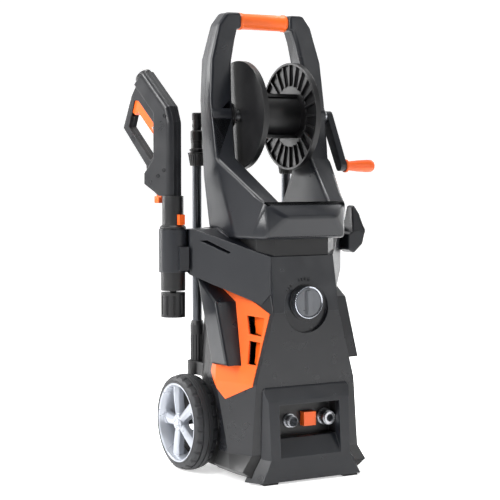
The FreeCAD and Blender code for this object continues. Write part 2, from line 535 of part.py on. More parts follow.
def frame_form(name, inset):
    """The frame's solid form drawn in by inset."""
    outside = [
        (f"frame_top_half - {inset}", f"frame_top - {inset}"),
        (f"frame_bend_half - {inset}", f"frame_bend_z - {inset} / 2"),
        (f"frame_upper_half - {inset}", "frame_upper_z"), (f"frame_wide_half - {inset}", "frame_wide_z"),
        (f"frame_low_half - {inset}", "frame_low_z"),
        (f"frame_foot_half - {inset}", f"frame_foot_z + {inset}"),
    ]
    opening = [
        (f"hand_top_half + {inset}", f"hand_top + {inset}"), (f"hand_bend_half + {inset}", "hand_bend_z"),
        (f"hand_mid_half + {inset}", "hand_mid_z"), (f"hand_low_half + {inset}", "hand_low_z"),
        (f"hand_floor_half + {inset}", f"hand_floor_z - {inset}"),
    ]
    side = [
        (f"frame_grip_front_y + {inset}", "frame_top + 1"),
        (f"frame_grip_front_y + {inset}", "hand_top"), (f"frame_arm_front_y + {inset}", "frame_wide_z"),
        (f"frame_knee_y + {inset}", f"hand_low_z - {inset} / 2"),
        (f"bar_top_y + {inset}", f"hand_floor_z - {inset} / 2"),
        (f"bar_front_y + 2 * {inset}", "bar_front_z"),
        (f"bar_under_y + {inset}", f"frame_foot_z + {inset}"),
        (f"frame_low_back_y - {inset}", f"frame_foot_z + {inset}"),
        (f"frame_low_back_y - {inset}", "frame_low_z"),
        (f"frame_arm_back_y - {inset}", "frame_wide_z"),
        (f"frame_grip_back_y - {inset}", "frame_upper_z"),
        (f"frame_grip_back_y - {inset}", "frame_top + 1"),
    ]
    plan = [
        (f"bar_half - {inset} / 2", f"bar_front_y + {inset}"),
        (f"bar_corner_half - {inset}", f"bar_corner_y + {inset} / 2"),
        (f"bar_flank_half - {inset}", "bar_flank_y"), (f"frame_wide_half - {inset}", "frame_knee_y"),
        (f"frame_wide_half - {inset}", "frame_grip_back_y"),
    ]

    def both(half):
        return half + [(f"-({across})", along) for across, along in reversed(half)]

    front = prism(f"{name}_front", "XZ_Plane", both(outside), "-reach / 2", "reach / 2")
    hole = prism(f"{name}_hole", "XZ_Plane", both(opening), "-reach / 2", "reach / 2")
    return common(name, cut(f"{name}_ring", front, hole),
                  prism(f"{name}_side", "YZ_Plane", side, "-reach / 2", "reach / 2"),
                  prism(f"{name}_plan", "XY_Plane", both(plan), "0", "frame_top + 1"))


frame_outer = frame_form("frame_outer", "0")
frame_inner = cut("frame_hollow_form", frame_form("frame_inner", "wall"),
                  box("grip_wall", ("-grip_half - wall", "-reach / 4", "hand_top - 2 * wall"),
                      ("grip_half + wall", "reach / 4", "frame_top + wall")))
grip_space = box("grip_space", ("-grip_half", "-reach / 4", "hand_top - wall"),
                 ("grip_half", "reach / 4", "frame_top + wall"))
tube_spot = ("grip_y", "grip_z")
handle_tube = cylinder("handle_tube", "tube_radius", "-tube_half", "tube_half", "x", tube_spot)
tube_boss = fuse("tube_boss", *[
    cylinder(f"tube_boss_{side}", "tube_radius + wall", start, end, "x", tube_spot)
    for side, start, end in (("left", "-tube_half", "-grip_half"), ("right", "grip_half", "tube_half"))])
bearing_spot = ("0", "reel_z")
bearing_bores = cylinder("bearing_bores", "bearing_radius", "-frame_wide_half + wall", "reach / 2", "x",
                         bearing_spot)
bearing_bosses = fuse("bearing_bosses", *[
    cylinder(f"bearing_boss_{side}", "bearing_radius + wall", start, end, "x", bearing_spot)
    for side, start, end in (("left", "-frame_wide_half + wall", "-hand_low_half - wall"),
                             ("right", "hand_low_half + wall", "frame_wide_half - wall"))])
frame_shell = fuse("frame_shell", cut("frame_hollow", frame_outer, frame_inner), bearing_bosses,
                   common("tube_bosses", tube_boss, frame_outer))
frame_whole = cut("frame_whole", frame_shell, grip_space, handle_tube, bearing_bores, shoulder_outer)
node("frame_front", common("frame_front", frame_whole,
                           box("frame_front_box", ("-reach", "-reach", "0"),
                               ("reach", "frame_split_y", "sky"))))
node("frame_back", common("frame_back", frame_whole,
                          box("frame_back_box", ("-reach", "frame_split_y", "0"),
                              ("reach", "reach", "sky"))))
node("handle_tube", handle_tube)
grip_bar = cylinder("grip_bar", "grip_radius", "-grip_half", "grip_half", "x", tube_spot)
node("handle_grip", cut("handle_grip", grip_bar, handle_tube))
neck_inner = box("neck_inner", ("-neck_front_half + wall", "neck_mid_y + wall", "neck_low - 1"),
                 ("neck_front_half - wall", "neck_back_y - wall", "neck_top + 1"))
node("neck_cover", cut("neck_cover", neck_block, neck_inner, shoulder_outer, frame_outer))

# ---- recess surround, connector plate and fittings ----

BEZEL_FRONT = [
    ("bezel_half - bezel_corner", "bezel_top", "bezel_lift_top"),
    ("bezel_half", "bezel_top - bezel_corner", "bezel_lift_top"),
    ("bezel_knee_half", "bezel_knee_z", "bezel_lift_knee"), ("bezel_foot_half", "bezel_bottom", "0"),
]
BEZEL_SIDE = [
    ("bezel_back_y", "bezel_bottom"), ("bezel_lip_y", "bezel_bottom"), ("tray_lip_y", "bezel_knee_z"),
    ("bezel_chin_y", "bezel_chin_z"), ("bezel_brow_y", "bezel_top"),
    ("bezel_back_y", "bezel_top + bezel_spread"),
]


def bezel_section(name, spread, along):
    half = [(f"{across} + {spread}", f"{up} + {spread} * {lift}")
            for across, up, lift in BEZEL_FRONT]
    sketch = doc.addObject("Sketcher::SketchObject", name)
    outline(sketch, name, half + [(f"-({across})", up) for across, up in reversed(half)])
    return place(sketch, ("0", along, "0"), Rotation(Vector(1, 0, 0), 90))


bezel_loft = doc.addObject("Part::Loft", "bezel_loft")
bezel_loft.Sections = [bezel_section("bezel_section_front", "0", "bezel_front_y"),
                       bezel_section("bezel_section_back", "bezel_spread", "bezel_back_y")]
bezel_loft.Solid = True
bezel_loft.Ruled = True
bezel_form = common("bezel_form", bezel_loft, prism("bezel_side", "YZ_Plane", BEZEL_SIDE, "-reach / 2",
                                                    "reach / 2"))
tray_wedge = prism("tray_wedge", "YZ_Plane",
                   [("recess_back_y", "recess_low"), ("tray_shelf_y", "recess_low"),
                    ("tray_lip_y - 2", "bezel_knee_z"),
                    ("-reach", "bezel_knee_z"), ("-reach", "recess_high"),
                    ("recess_back_y", "recess_high")],
                   "-recess_half", "recess_half")
bezel_solid = cut("bezel_solid", bezel_form, shell_outer, tray_wedge, feet_cut)
node("recess_surround", bezel_solid)

tray_box = cut("tray_box_wall", common("plate_form", recess_cut, shell_outer),
               box("plate_space", ("-recess_half", "-reach", "recess_low"),
                   ("recess_half", "recess_back_y", "recess_high")))
inlet_spot = ("inlet_x", "inlet_z")
outlet_spot = ("outlet_x", "outlet_z")
button_low = ("button_x - button_width / 2", "recess_back_y - button_proud",
              "outlet_z - button_height / 2")
button_high = ("button_x + button_width / 2", "recess_back_y + 2 * wall", "outlet_z + button_height / 2")
button_hole = box("button_hole", (f"{button_low[0]} - gap", "-reach", f"{button_low[2]} - gap"),
                  (f"{button_high[0]} + gap", "reach / 8", f"{button_high[2]} + gap"))
inlet_seat = cylinder("inlet_seat", "inlet_radius", "-reach", "0", "y", inlet_spot)
outlet_seat = cylinder("outlet_seat", "outlet_radius", "-reach", "0", "y", outlet_spot)
node("connector_plate", cut("connector_plate", tray_box, button_hole, inlet_seat, outlet_seat))


def fitting(name, radius, bore, spot, length):
    """A metal hose fitting: threaded barrel, stepped nose and a through bore."""
    x, z = spot
    return turned(name, [
        ("0", bore), ("0", radius), ("3 * wall", radius), ("3 * wall", f"{radius} - fitting_step"),
        (f"{length} - fitting_nose", f"{radius} - fitting_step"),
        (f"{length} - fitting_nose", f"{radius} - fitting_nose_step"),
        (length, f"{radius} - fitting_nose_step"),
        (length, bore)], "-y", (x, "recess_back_y + 2 * wall", z))


node("inlet_connector", fitting("inlet_fitting", "inlet_radius", "inlet_bore", inlet_spot,
                                "inlet_length"))
node("outlet_connector", fitting("outlet_fitting", "outlet_radius", "outlet_bore", outlet_spot,
                                 "outlet_length"))
node("outlet_release_button", box("release_button", button_low, button_high))

# ---- switch ----

knob_face = cylinder("knob_face", "switch_radius - ring_width", "switch_face_y + wall",
                     "dish_y - gap - wall",
                     "y", ("0", "switch_z"))
knob_bar = box("knob_bar", ("-grip_bar_width / 2", "switch_face_y - wall",
                            "switch_z - switch_radius + 2 * ring_width"),
               ("grip_bar_width / 2", "switch_face_y + 2 * wall",
                "switch_z + switch_radius - 2 * ring_width"))
spindle = cylinder("switch_spindle", "spindle_radius", "dish_y - gap - wall", "dish_y + spindle_length",
                   "y",
                   ("0", "switch_z"))
node("switch_knob", fuse("switch_knob", knob_face, knob_bar, spindle))
ring_body = cylinder("ring_body", "switch_radius", "switch_face_y + 1", "dish_y - gap - wall", "y",
                     ("0", "switch_z"))
node("switch_ring", cut("switch_ring", ring_body, knob_face, knob_bar))
skirt_disc = cylinder("skirt_disc", "switch_skirt_radius", "dish_y - gap - wall", "dish_y - gap", "y",
                      ("0", "switch_z"))
node("switch_skirt", cut("switch_skirt", skirt_disc, spindle))
switch_block = box("switch_block", ("-switch_block_half", "dish_y + wall",
                                    "switch_z - switch_block_rise"),
                   ("switch_block_half", "dish_y + switch_block_depth", "switch_z + switch_block_rise"))
node("switch_body", cut("switch_body", switch_block, spindle_hole))

# ---- wheels ----

def wheel():
    """Tyre with its web, and rim with spokes and cap, of the left wheel; the right one is mirrored."""
    outer, inner = "-wheel_outer_half", "-wheel_outer_half + tyre_width"
    spot = ("0", "wheel_y", "wheel_radius")
    tyre = turned("tyre", [
        (outer, "rim_radius + tyre_bead"), (f"{outer} + tyre_shoulder", "wheel_radius - tread_crown"),
        (f"{outer} + tyre_width / 4", "wheel_radius"), (f"{inner} - tyre_width / 4", "wheel_radius"),
        (f"{inner} - tyre_shoulder", "wheel_radius - tread_crown"), (inner, "rim_radius + tyre_bead"),
        (inner, "rim_radius - rim_lip"), (outer, "rim_radius - rim_lip")], "x", spot)
    band = turned("rim_band", [
        (outer, "rim_radius"), (f"{outer} + rim_depth", "rim_radius"),
        (f"{outer} + rim_depth", "rim_radius - rim_lip - rim_band_step"),
        (f"{outer} + rim_lip_width", "rim_radius - rim_lip - rim_band_step"),
        (outer, "rim_radius - rim_lip")], "x", spot)
    hub = turned("hub", [
        (f"{outer} + 2 * wall", "axle_radius + slip"), (f"{outer} + 2 * wall", "hub_radius"),
        (f"{inner} + hub_proud", "hub_radius"), (f"{inner} + hub_proud", "axle_radius + slip")], "x",
        spot)
    start, end = "hub_radius - spoke_root", "rim_radius - rim_lip"
    spokes = ring_of("spokes", SIZES["spoke_count"], lambda number,
                     angle: spoke(number, angle, outer, start, end))
    core = cylinder("rim_bore", "axle_radius + slip", "-reach", "reach", "x", ("wheel_y", "wheel_radius"))
    rim = cut("rim_left", fuse("rim_parts", band, hub, spokes), core)
    web_low, web_high = f"{outer} + rim_depth", f"{outer} + rim_depth + wall"
    web = turned("wheel_web", [
        (web_low, "hub_radius"), (web_low, "rim_radius - sink"), (web_high, "rim_radius - sink"),
        (web_high, "hub_radius")], "x", spot)
    cap = cylinder("hub_cap_left", "cap_radius", f"{outer} + 2 * wall - cap_thick", f"{outer} + 2 * wall",
                   "x", ("wheel_y", "wheel_radius"))
    return fuse("tyre_webbed", cut("tyre_ring", tyre, band), web), fuse("rim_capped", rim, cap)


def spoke(number, angle, outer, start, end):
    """One spoke: a wide wedge with a raised ridge, turned about the axle."""
    wedge = prism(f"spoke{number}", "YZ_Plane",
                  [("-spoke_width / 2", start), ("spoke_width / 2", start), ("spoke_tip_half", end),
                   ("-spoke_tip_half", end)], f"{outer} + wall", f"{outer} + wall + spoke_thick")
    return place(wedge, (f"{outer} + wall", "wheel_y", "wheel_radius"), Rotation(Vector(1, 0, 0), angle))


for label, piece in zip(("tyre", "rim"), wheel()):
    node(f"{label}_left", piece)
    node(f"{label}_right", mirrored(f"{label}_right", piece))
node("wheel_axle", cylinder("wheel_axle", "axle_radius", "-wheel_outer_half + 2 * wall + axle_end_gap",
                            "wheel_outer_half - 2 * wall - axle_end_gap", "x",
                            ("wheel_y", "wheel_radius")))

# ---- hose reel with its crank ----

reel_spot = ("0", "0", "reel_z")
flange_right = turned("flange_plate", [
    ("flange_half - boss_depth", "reel_axle_radius"), ("flange_half - boss_depth", "boss_radius"),
    ("flange_half", "boss_radius"), ("flange_half", "flange_radius - lip_thick"),
    ("flange_half - lip_depth", "flange_radius - lip_thick"),
    ("flange_half - lip_depth", "flange_radius"),
    ("flange_half + flange_thick", "flange_radius"), ("flange_half + flange_thick", "reel_axle_radius")],
    "x", reel_spot)


def flange_rib(number, angle):
    """One rib on the flange's inner face, from the boss to the lip."""
    rib = prism(f"rib{number}", "YZ_Plane",
                [("-rib_thick / 2", "boss_radius - sink"), ("rib_thick / 2", "boss_radius - sink"),
                 ("rib_thick / 2", "flange_radius - sink"), ("-rib_thick / 2", "flange_radius - sink")],
                "flange_half - rib_depth", "flange_half + sink")
    return place(rib, ("flange_half - rib_depth", "0", "reel_z"), Rotation(Vector(1, 0, 0), angle))


flange_ribs = ring_of("flange_ribs", SIZES["rib_count"], flange_rib)
reel_flange = fuse("reel_flange", flange_right, flange_ribs)
drum_round = cylinder("drum_round", "drum_radius", "-flange_half + boss_depth",
                      "flange_half - boss_depth", "x",
                      ("0", "reel_z"))
ledges = fuse("ledges", *[
    box(f"ledge_{name}", ("-flange_half + boss_depth", "-ledge_width", low),
        ("flange_half - boss_depth", "ledge_width", high))
    for name, low, high in (("top", "reel_z + drum_radius - ledge_depth", "reel_z + drum_radius"),
                            ("bottom", "reel_z - drum_radius", "reel_z - drum_radius + ledge_depth"))])
reel_core = cylinder("reel_core", "reel_axle_radius", "-reach", "reach", "x", ("0", "reel_z"))
node("reel_drum", cut("reel_drum", fuse("drum_parts", drum_round, ledges), reel_core))
node("reel_flange_right", reel_flange)
node("reel_flange_left", mirrored("reel_flange_left", reel_flange))
node("reel_axle", cylinder("reel_axle", "reel_axle_radius", "-frame_wide_half + wall + gap", "crank_half",
                           "x",
                           ("0", "reel_z")))
bearings = [turned(f"bearing_{side}", [
    (f"{sign} * (hand_mid_half - 2)", "reel_axle_radius + slip"),
    (f"{sign} * (hand_mid_half - 2)", "bearing_flange_radius"),
    (f"{sign} * hand_mid_half", "bearing_flange_radius"), (f"{sign} * hand_mid_half", "bearing_radius"),
    (f"{sign} * (frame_wide_half - wall)", "bearing_radius"),
    (f"{sign} * (frame_wide_half - wall)", "reel_axle_radius + slip")], "x", reel_spot)
    for side, sign in (("left", "-1"), ("right", "1"))]
node("reel_bearings", fuse("reel_bearings", *bearings))

crank_form = prism("crank_form", "YZ_Plane", [
    ("-crank_width / 2", "0"), ("-crank_tip_width / 2", "crank_length"),
    ("crank_tip_width / 2", "crank_length"),
    ("crank_width / 2", "0")], "0", "crank_thick")
crank_ends = fuse("crank_ends", *[
    cylinder(f"crank_end_{name}", radius, "0", "crank_thick", "x", ("0", along))
    for name, radius, along in (("root", "crank_width / 2", "0"),
                                ("tip", "crank_tip_width / 2", "crank_length"))])
knob_pin = cylinder("knob_pin", "knob_pin_radius", "0",
                    "crank_thick + knob_length - knob_end_wall - sink", "x",
                    ("0", "crank_length"))
knob = turned("crank_knob", [
    ("crank_thick + gap", "knob_pin_radius + slip"), ("crank_thick + gap", "knob_radius"),
    ("crank_thick + knob_flange", "knob_radius"),
    ("crank_thick + knob_flange + knob_taper", "knob_neck_radius"),
    ("crank_thick + knob_length / 2", "knob_neck_radius + sink"),
    ("crank_thick + knob_length - knob_dome_length", "knob_radius"),
    ("crank_thick + knob_length", "knob_radius - knob_dome"),
    ("crank_thick + knob_length", "knob_end_bore"),
    ("crank_thick + knob_length - knob_end_wall", "knob_end_bore"),
    ("crank_thick + knob_length - knob_end_wall", "knob_pin_radius + slip")],
    "x", ("0", "0", "crank_length"))
for name, piece in (("crank_arm", fuse("crank_parts", crank_form, crank_ends, knob_pin)),
                    ("crank_knob", knob)):
    node(name, place(group(f"{name}_placed", piece), ("crank_half", "0", "reel_z"),
                     Rotation(Vector(1, 0, 0), SIZES["crank_angle"])))

# ---- spray gun, modelled round its barrel axis and then turned into its holster ----

TRIGGER_PIN = ("pin_u", "pin_z")
LOCK_PIVOT = ("lock_u", "lock_z")


def gun_prism(name, points, half):
    return prism(name, "XZ_Plane", points, f"-({half})", half)


def in_holster(label, piece):
    """Turns a gun piece into its place over the holster."""
    node(label, place(group(f"{label}_set", piece), ("gun_x", "gun_y", "0"),
                      Rotation(Vector(0, 0, 1), SIZES["gun_turn"])))


def spine_edge(edge):
    """The long outer edges of the grip and of the spine."""
    middle = edge.CenterOfMass
    outer = abs(abs(middle.y) - value("gun_half")) < 0.1
    return outer and middle.x < 45 and middle.z > 560 and not 30 < middle.x < 36


grip_form = rounded("grip_form", gun_prism("grip_prism", OUTLINES["grip"], "gun_half"), "gun_round",
                    spine_edge)
guard_form = cut("guard_form", gun_prism("guard_prism", OUTLINES["gun"], "guard_half"),
                 gun_prism("finger_gap", OUTLINES["finger_gap"], "2 * gun_half"))
sleeve_bore = cylinder("sleeve_bore", "sleeve_radius - sleeve_wall", "holster_high",
                       "sleeve_top + sleeve_socket_deep", "z",
                       ("0", "0"))
valve_space = box("valve_space", ("-valve_half", "-valve_half", "valve_low"),
                  ("valve_half + valve_side", "valve_half", "valve_high"))
pin_hole = cylinder("pin_hole", "pin_radius", "-gun_half + wall", "gun_half - wall", "y", TRIGGER_PIN)
hose_spot = ("hose_u", "0", "hose_z")
hose_tilt = Rotation(Vector(0, 1, 0), 45)
hose_collar = place(group("hose_collar", turned("hose_collar_turn", [
    ("0", "hose_bore"), ("0", "hose_radius"), ("hose_neck", "hose_radius"),
    ("hose_neck", "hose_radius + hose_ridge"), ("hose_neck + hose_ridge", "hose_radius + hose_ridge"),
    ("hose_neck + hose_ridge", "hose_radius - hose_step"), ("hose_length", "hose_radius - hose_step"),
    ("hose_length", "hose_bore")], "z")), hose_spot, hose_tilt)
hose_hole = place(cylinder("hose_hole", "hose_radius", "0", "hose_hole_length"), hose_spot, hose_tilt)
lock_hole = box("lock_hole",
                ("lock_front - lock_room_front", "-lock_half - lock_room", "lock_low - lock_room_low"),
                ("lock_back + lock_room_back", "lock_half + lock_room", "lock_high + lock_room_high"))
pivot_holes = cylinder("pivot_holes", "lock_pivot + slip", "-lock_pivot_half - gap",
                       "lock_pivot_half + gap", "y",
                       LOCK_PIVOT)
gun_form = cut("gun_form", fuse("gun_parts", grip_form, guard_form),
               gun_prism("trigger_pocket", OUTLINES["pocket"], "trigger_half + gap"), sleeve_bore,
               valve_space,
               pin_hole, hose_hole, lock_hole, pivot_holes)
for side, start, end in (("left", "0", "reach"), ("right", "-reach", "0")):
    half_box = box(f"gun_half_{side}", ("-reach", start, "0"), ("reach", end, "sky"))
    in_holster(f"gun_shell_{side}", common(f"gun_side_{side}", gun_form, half_box))

neck_top = "nut_high - nut_plate - gap"
neck_low = "nut_high - nut_plate - gap - barrel_flange_thick"
barrel = turned("barrel", [
    (neck_low, "jet_bore"), (neck_low, "barrel_flange"), (neck_top, "barrel_flange"),
    (neck_top, "nut_hole - slip"), ("barrel_low", "nut_hole - slip"), ("barrel_low", "barrel_radius"),
    ("holster_high + gap", "barrel_radius"), ("holster_high + gap", "holster_radius - cuff_inset"),
    ("holster_high + cuff_thick", "holster_radius - cuff_inset"),
    ("holster_high + cuff_thick + cuff_taper", "sleeve_radius"), ("sleeve_top", "sleeve_radius"),
    ("sleeve_top", "sleeve_radius - sleeve_wall"),
    ("sleeve_top + sleeve_socket", "sleeve_radius - sleeve_wall"),
    ("sleeve_top + sleeve_socket", "jet_bore")], "z")
button_low_z = "holster_high + cuff_thick + cuff_taper"
button_space = box("gun_button_space", ("-reach", "-button_half - gap", button_low_z),
                   ("-button_pocket", "button_half + gap", f"{button_low_z} + button_length"))
in_holster("gun_barrel", cut("gun_barrel", barrel, button_space))
in_holster("gun_release_button", box(
    "gun_button", ("-sleeve_radius - button_out", "-button_half", f"{button_low_z} + gap"),
    ("-button_seat", "button_half", f"{button_low_z} + button_length - gap")))
nut_body = turned("nut_body", [
    ("nut_low", "barrel_radius - nut_wall"), ("nut_low", "nut_radius"), ("nut_high", "nut_radius"),
    ("nut_high", "nut_hole"), ("nut_high - nut_plate", "nut_hole"),
    ("nut_high - nut_plate", "barrel_radius - nut_wall")], "z")
flutes = ring_of("nut_flutes", SIZES["nut_flute_count"], lambda number, angle: place(
    cylinder(f"nut_flute{number}", "nut_flute_radius", "nut_low + nut_flute_end",
             "nut_high - nut_flute_end"),
    (f"nut_radius * cos({angle} deg)", f"nut_radius * sin({angle} deg)", "nut_low + nut_flute_end")))
in_holster("gun_nut", cut("gun_nut", nut_body, flutes))
in_holster("gun_valve", box("gun_valve", ("-valve_half", "-valve_half", "valve_low"),
                            ("valve_half + valve_side", "valve_half", "valve_high")))
trigger = cut("trigger", gun_prism("trigger_form", OUTLINES["trigger"], "trigger_half"),
              cylinder("trigger_bore", "pin_radius + slip", "-gun_half", "gun_half", "y", TRIGGER_PIN))
in_holster("gun_trigger", trigger)
in_holster("gun_trigger_pin", cylinder("trigger_pin", "pin_radius", "-gun_half + wall", "gun_half - wall",
                                       "y",
                                       TRIGGER_PIN))
lock = fuse("lock", cylinder("lock_pivot", "lock_pivot", "-lock_pivot_half", "lock_pivot_half", "y",
                             LOCK_PIVOT),
            box("lock_body", ("lock_front", "-lock_half", "lock_low"),
                        ("lock_back", "lock_half", "lock_high")),
            box("lock_tip", ("lock_tip_front", "-lock_half", "lock_tip_low"),
                ("lock_tip_back", "lock_half", "lock_tip_high")))
in_holster("gun_lock", lock)
in_holster("gun_hose_inlet", hose_collar)

holster_ring = cylinder("holster_ring", "holster_radius", "holster_low", "holster_high", "z",
                        ("gun_x", "gun_y"))
holster_pad = box("holster_pad", ("gun_x - pad_left", "gun_y - holster_radius - pad_proud",
                                  "holster_low + pad_low"),
                  ("gun_x + pad_right", "gun_y - holster_radius + pad_deep", "holster_low + pad_high"))
holster_bore = cylinder("holster_bore", "holster_bore", "holster_low - 1", "holster_high + 1", "z",
                        ("gun_x", "gun_y"))
node("gun_holster", cut("gun_holster", fuse("holster_parts", holster_ring, holster_pad), holster_bore,
                        cut("arm_solid", shoulder_outer, holster_seat)))

# ---- lances with their clips and cups ----

def lance(side, sign, drop, head_profile, fluted):
    """One lance: tube, bayonet collar and nozzle, hanging behind the shoulder."""
    spot = (f"{sign} * lance_x", "lance_y", f"-{drop}")
    flat = (f"{sign} * lance_x", "lance_y")
    tube = cylinder(f"lance_tube_{side}", "lance_radius", "lance_low", "lance_top", "z", flat)
    node(f"lance_{side}_tube", place(group(f"tube_{side}", tube), ("0", "0", f"-{drop}")))
    collar = turned(f"collar_{side}", [
        ("collar_low", "lance_radius"), ("collar_low", "collar_radius - collar_wall"),
        ("collar_high", "collar_radius"), ("collar_high", "collar_radius - collar_step"),
        ("collar_high + collar_rim", "collar_radius - collar_wall"),
        ("collar_high + collar_rim", "lance_radius"), ("nipple_top - nipple_length", "lance_radius"),
        ("nipple_top - nipple_length", "lance_radius - nipple_step"),
        ("nipple_top", "lance_radius - nipple_step"), ("nipple_top", "jet_bore"),
        ("lance_top", "jet_bore"), ("lance_top", "lance_radius")], "z", spot)
    node(f"lance_{side}_collar", collar)
    nozzle = turned(f"nozzle_{side}", head_profile, "z", spot)
    if fluted:
        nozzle = cut(f"nozzle_{side}_fluted", nozzle,
                     ring_of("nozzle_flutes", SIZES["nozzle_flute_count"], nozzle_flute))
    node(f"lance_{side}_nozzle", nozzle)


def nozzle_flute(number, angle):
    """A groove along the straight nozzle."""
    out = "(nozzle_radius + nozzle_flute_out)"
    groove = cylinder(f"nozzle_flute{number}", "nozzle_flute_radius", "0", "nozzle_flute_length")
    return place(groove, (f"-lance_x + {out} * cos({angle} deg)", f"lance_y + {out} * sin({angle} deg)",
                          "nozzle_low + nozzle_flute_low"))


NOZZLE_CONE = [
    ("lance_low + nozzle_cone_high", "lance_radius + nozzle_cone_step"),
    ("lance_low + nozzle_cone_high", "lance_radius"), ("lance_low", "lance_radius"),
    ("lance_low", "jet_bore")]
PLAIN_NOZZLE = [
    ("nozzle_low", "jet_bore"), ("nozzle_low", "nozzle_radius - nozzle_tip"),
    ("nozzle_low + nozzle_bevel_high", "nozzle_radius - nozzle_bevel"),
    ("nozzle_low + nozzle_body_high", "nozzle_radius"), ("lance_low + nozzle_cone_low", "nozzle_radius"),
    *NOZZLE_CONE]
TURBO_NOZZLE = [
    ("nozzle_low + lance_drop", "jet_bore"), ("nozzle_low + lance_drop", "nozzle_radius - nozzle_tip"),
    ("nozzle_low + turbo_neck", "nozzle_radius"), ("nozzle_low + turbo_shoulder", "turbo_radius"),
    ("lance_low - turbo_top", "turbo_radius"), *NOZZLE_CONE]
lance("left", "-1", "0", PLAIN_NOZZLE, True)
lance("right", "1", "lance_drop", TURBO_NOZZLE, False)


def lance_support(name, low, height, radius, bore, floor):
    """A ring on a bracket behind the body, with a floor where the lance stands in it."""
    spot = ("-lance_x", "lance_y")
    top = f"{low} + {height}"
    ring = cylinder(f"{name}_ring", radius, low, top, "z", spot)
    arm = box(f"{name}_arm", (f"-lance_x - {radius} + wall", "split_y", low),
              (f"-lance_x + {radius} - wall", "lance_y", top))
    hole = cylinder(f"{name}_hole", bore, f"{low} + {floor}", f"{top} + 1", "z", spot)
    drain = cylinder(f"{name}_drain", "lance_radius / 2", f"{low} - 1", top, "z", spot)
    return cut(name, fuse(f"{name}_parts", ring, arm), hole, drain)


clip_mouth = box("clip_mouth", ("-lance_x - clip_mouth_half", "lance_y", "clip_z - 1"),
                 ("-lance_x + clip_mouth_half", "reach", "clip_z + clip_height + 1"))
clip_left = cut("clip_left", lance_support("clip", "clip_z", "clip_height", "clip_radius",
                                           "lance_radius + gap", "-1"),
                clip_mouth, shoulder_outer, shell_outer)
cup_left = cut("cup_left", lance_support("cup", "nozzle_low - gap - cup_wall", "cup_height",
                                         "turbo_radius + cup_wall", "turbo_radius + gap", "cup_wall"),
               shell_outer)
holders_left = fuse("holders_left", clip_left, cup_left)
node("lance_holders", fuse("lance_holders", holders_left, mirrored("holders_right", holders_left)))

# ---- cord hook on the right arm ----

HOOK_FRONT = [(f"arm_half + {out}", up) for out, up in OUTLINES["hook"]]
HOOK_SIDE = [(f"hook_front_y + {back}", up) for back, up in OUTLINES["hook_taper"]]
hook_prism = prism("hook_prism", "XZ_Plane", HOOK_FRONT, "hook_front_y", "hook_back_y")
hook_taper = prism("hook_taper", "YZ_Plane", HOOK_SIDE + [
    ("hook_back_y", "hook_taper_top_along"), ("hook_back_y", "hook_taper_low_along")], "0", "reach")
node("cord_hook", cut("cord_hook", common("hook_form", hook_prism, hook_taper), shoulder_outer))

# ---- feet and gland ----

node("front_feet", common("front_feet", feet_cut, box("feet_space", ("-reach", "bezel_lip_y", "0"),
                                                      ("reach", "0", "foot_top"))))
gland = turned("gland", [
    ("0", "gland_bore"), ("0", "gland_radius - slip"), ("2 * wall", "gland_radius - slip"),
    ("2 * wall", "gland_radius + gland_flange"), ("4 * wall", "gland_radius + gland_flange"),
    ("10 * wall", "gland_bore + gland_cone"),
    ("10 * wall", "gland_bore")], "y", ("gland_x", "back_y - 2 * wall", "gland_z"))
node("cable_gland", gland)

# ---- motor and pump inside ----

motor_spot = ("motor_x", "motor_y")
motor_can = cylinder("motor_can", "motor_radius", "motor_low", "motor_high", "z", motor_spot)
motor_bore = cylinder("motor_bore", "stator_bore", "motor_low + 2 * wall", "motor_high + 1", "z",
                      motor_spot)
shaft_bore = cylinder("shaft_bore", "shaft_radius + slip", "motor_low - 1", "motor_high", "z", motor_spot)
node("motor_housing", cut("motor_housing", motor_can, motor_bore, shaft_bore))
rotor = turned("rotor", [
    ("plate_low", "0"), ("plate_low", "plate_radius"), ("plate_low + plate_thick", "plate_radius"),
    ("plate_low + plate_thick", "shaft_radius"), ("motor_low + 4 * wall", "shaft_radius"),
    ("motor_low + 4 * wall", "rotor_radius"), ("motor_high - 4 * wall", "rotor_radius"),
    ("motor_high - 4 * wall", "shaft_radius"), ("fan_z + fan_high", "shaft_radius"),
    ("fan_z + fan_high", "0")],
    "z", ("motor_x", "motor_y", "0"))
node("motor_rotor", rotor)
fan_hub = turned("fan_hub", [
    ("fan_z", "shaft_radius"), ("fan_z", "fan_radius"), ("fan_z + fan_disc", "fan_radius"),
    ("fan_z + fan_disc", "fan_hub_radius"), ("fan_z + fan_high", "fan_hub_radius"),
    ("fan_z + fan_high", "shaft_radius")], "z", ("motor_x", "motor_y", "0"))


def fan_blade(number, angle):
    """One straight blade, from inside the hub to the fan's edge."""
    blade = box(f"blade{number}", ("blade_root", "-blade_half", "fan_z + sink"),
                ("fan_radius - sink", "blade_half", "fan_z + fan_high"))
    spot = (f"motor_x + blade_root * cos({angle} deg)", f"motor_y + blade_root * sin({angle} deg)",
            "fan_z + sink")
    return place(blade, spot, Rotation(Vector(0, 0, 1), angle))


node("motor_fan", fuse("motor_fan", fan_hub, ring_of("fan_blades", SIZES["blade_count"], fan_blade)))
pump_body = cylinder("pump_body", "pump_radius", "sill_z + wall", "motor_low", "z", motor_spot)
plate_room = cylinder("plate_room", "plate_radius + plate_room", "plate_low - plate_room_low",
                      "motor_low + sink", "z",
                      motor_spot)
inlet_pipe = cylinder("inlet_pipe", "inlet_bore", "recess_back_y + 2 * wall", "motor_y", "y", inlet_spot)
outlet_pipe = cylinder("outlet_pipe", "outlet_bore + pipe_wall", "recess_back_y + 2 * wall", "motor_y",
                       "y",
                       outlet_spot)
node("pump_head", cut("pump_head", fuse("pump_parts", pump_body, inlet_pipe, outlet_pipe), plate_room))

# ---- checks, placing and writing ----

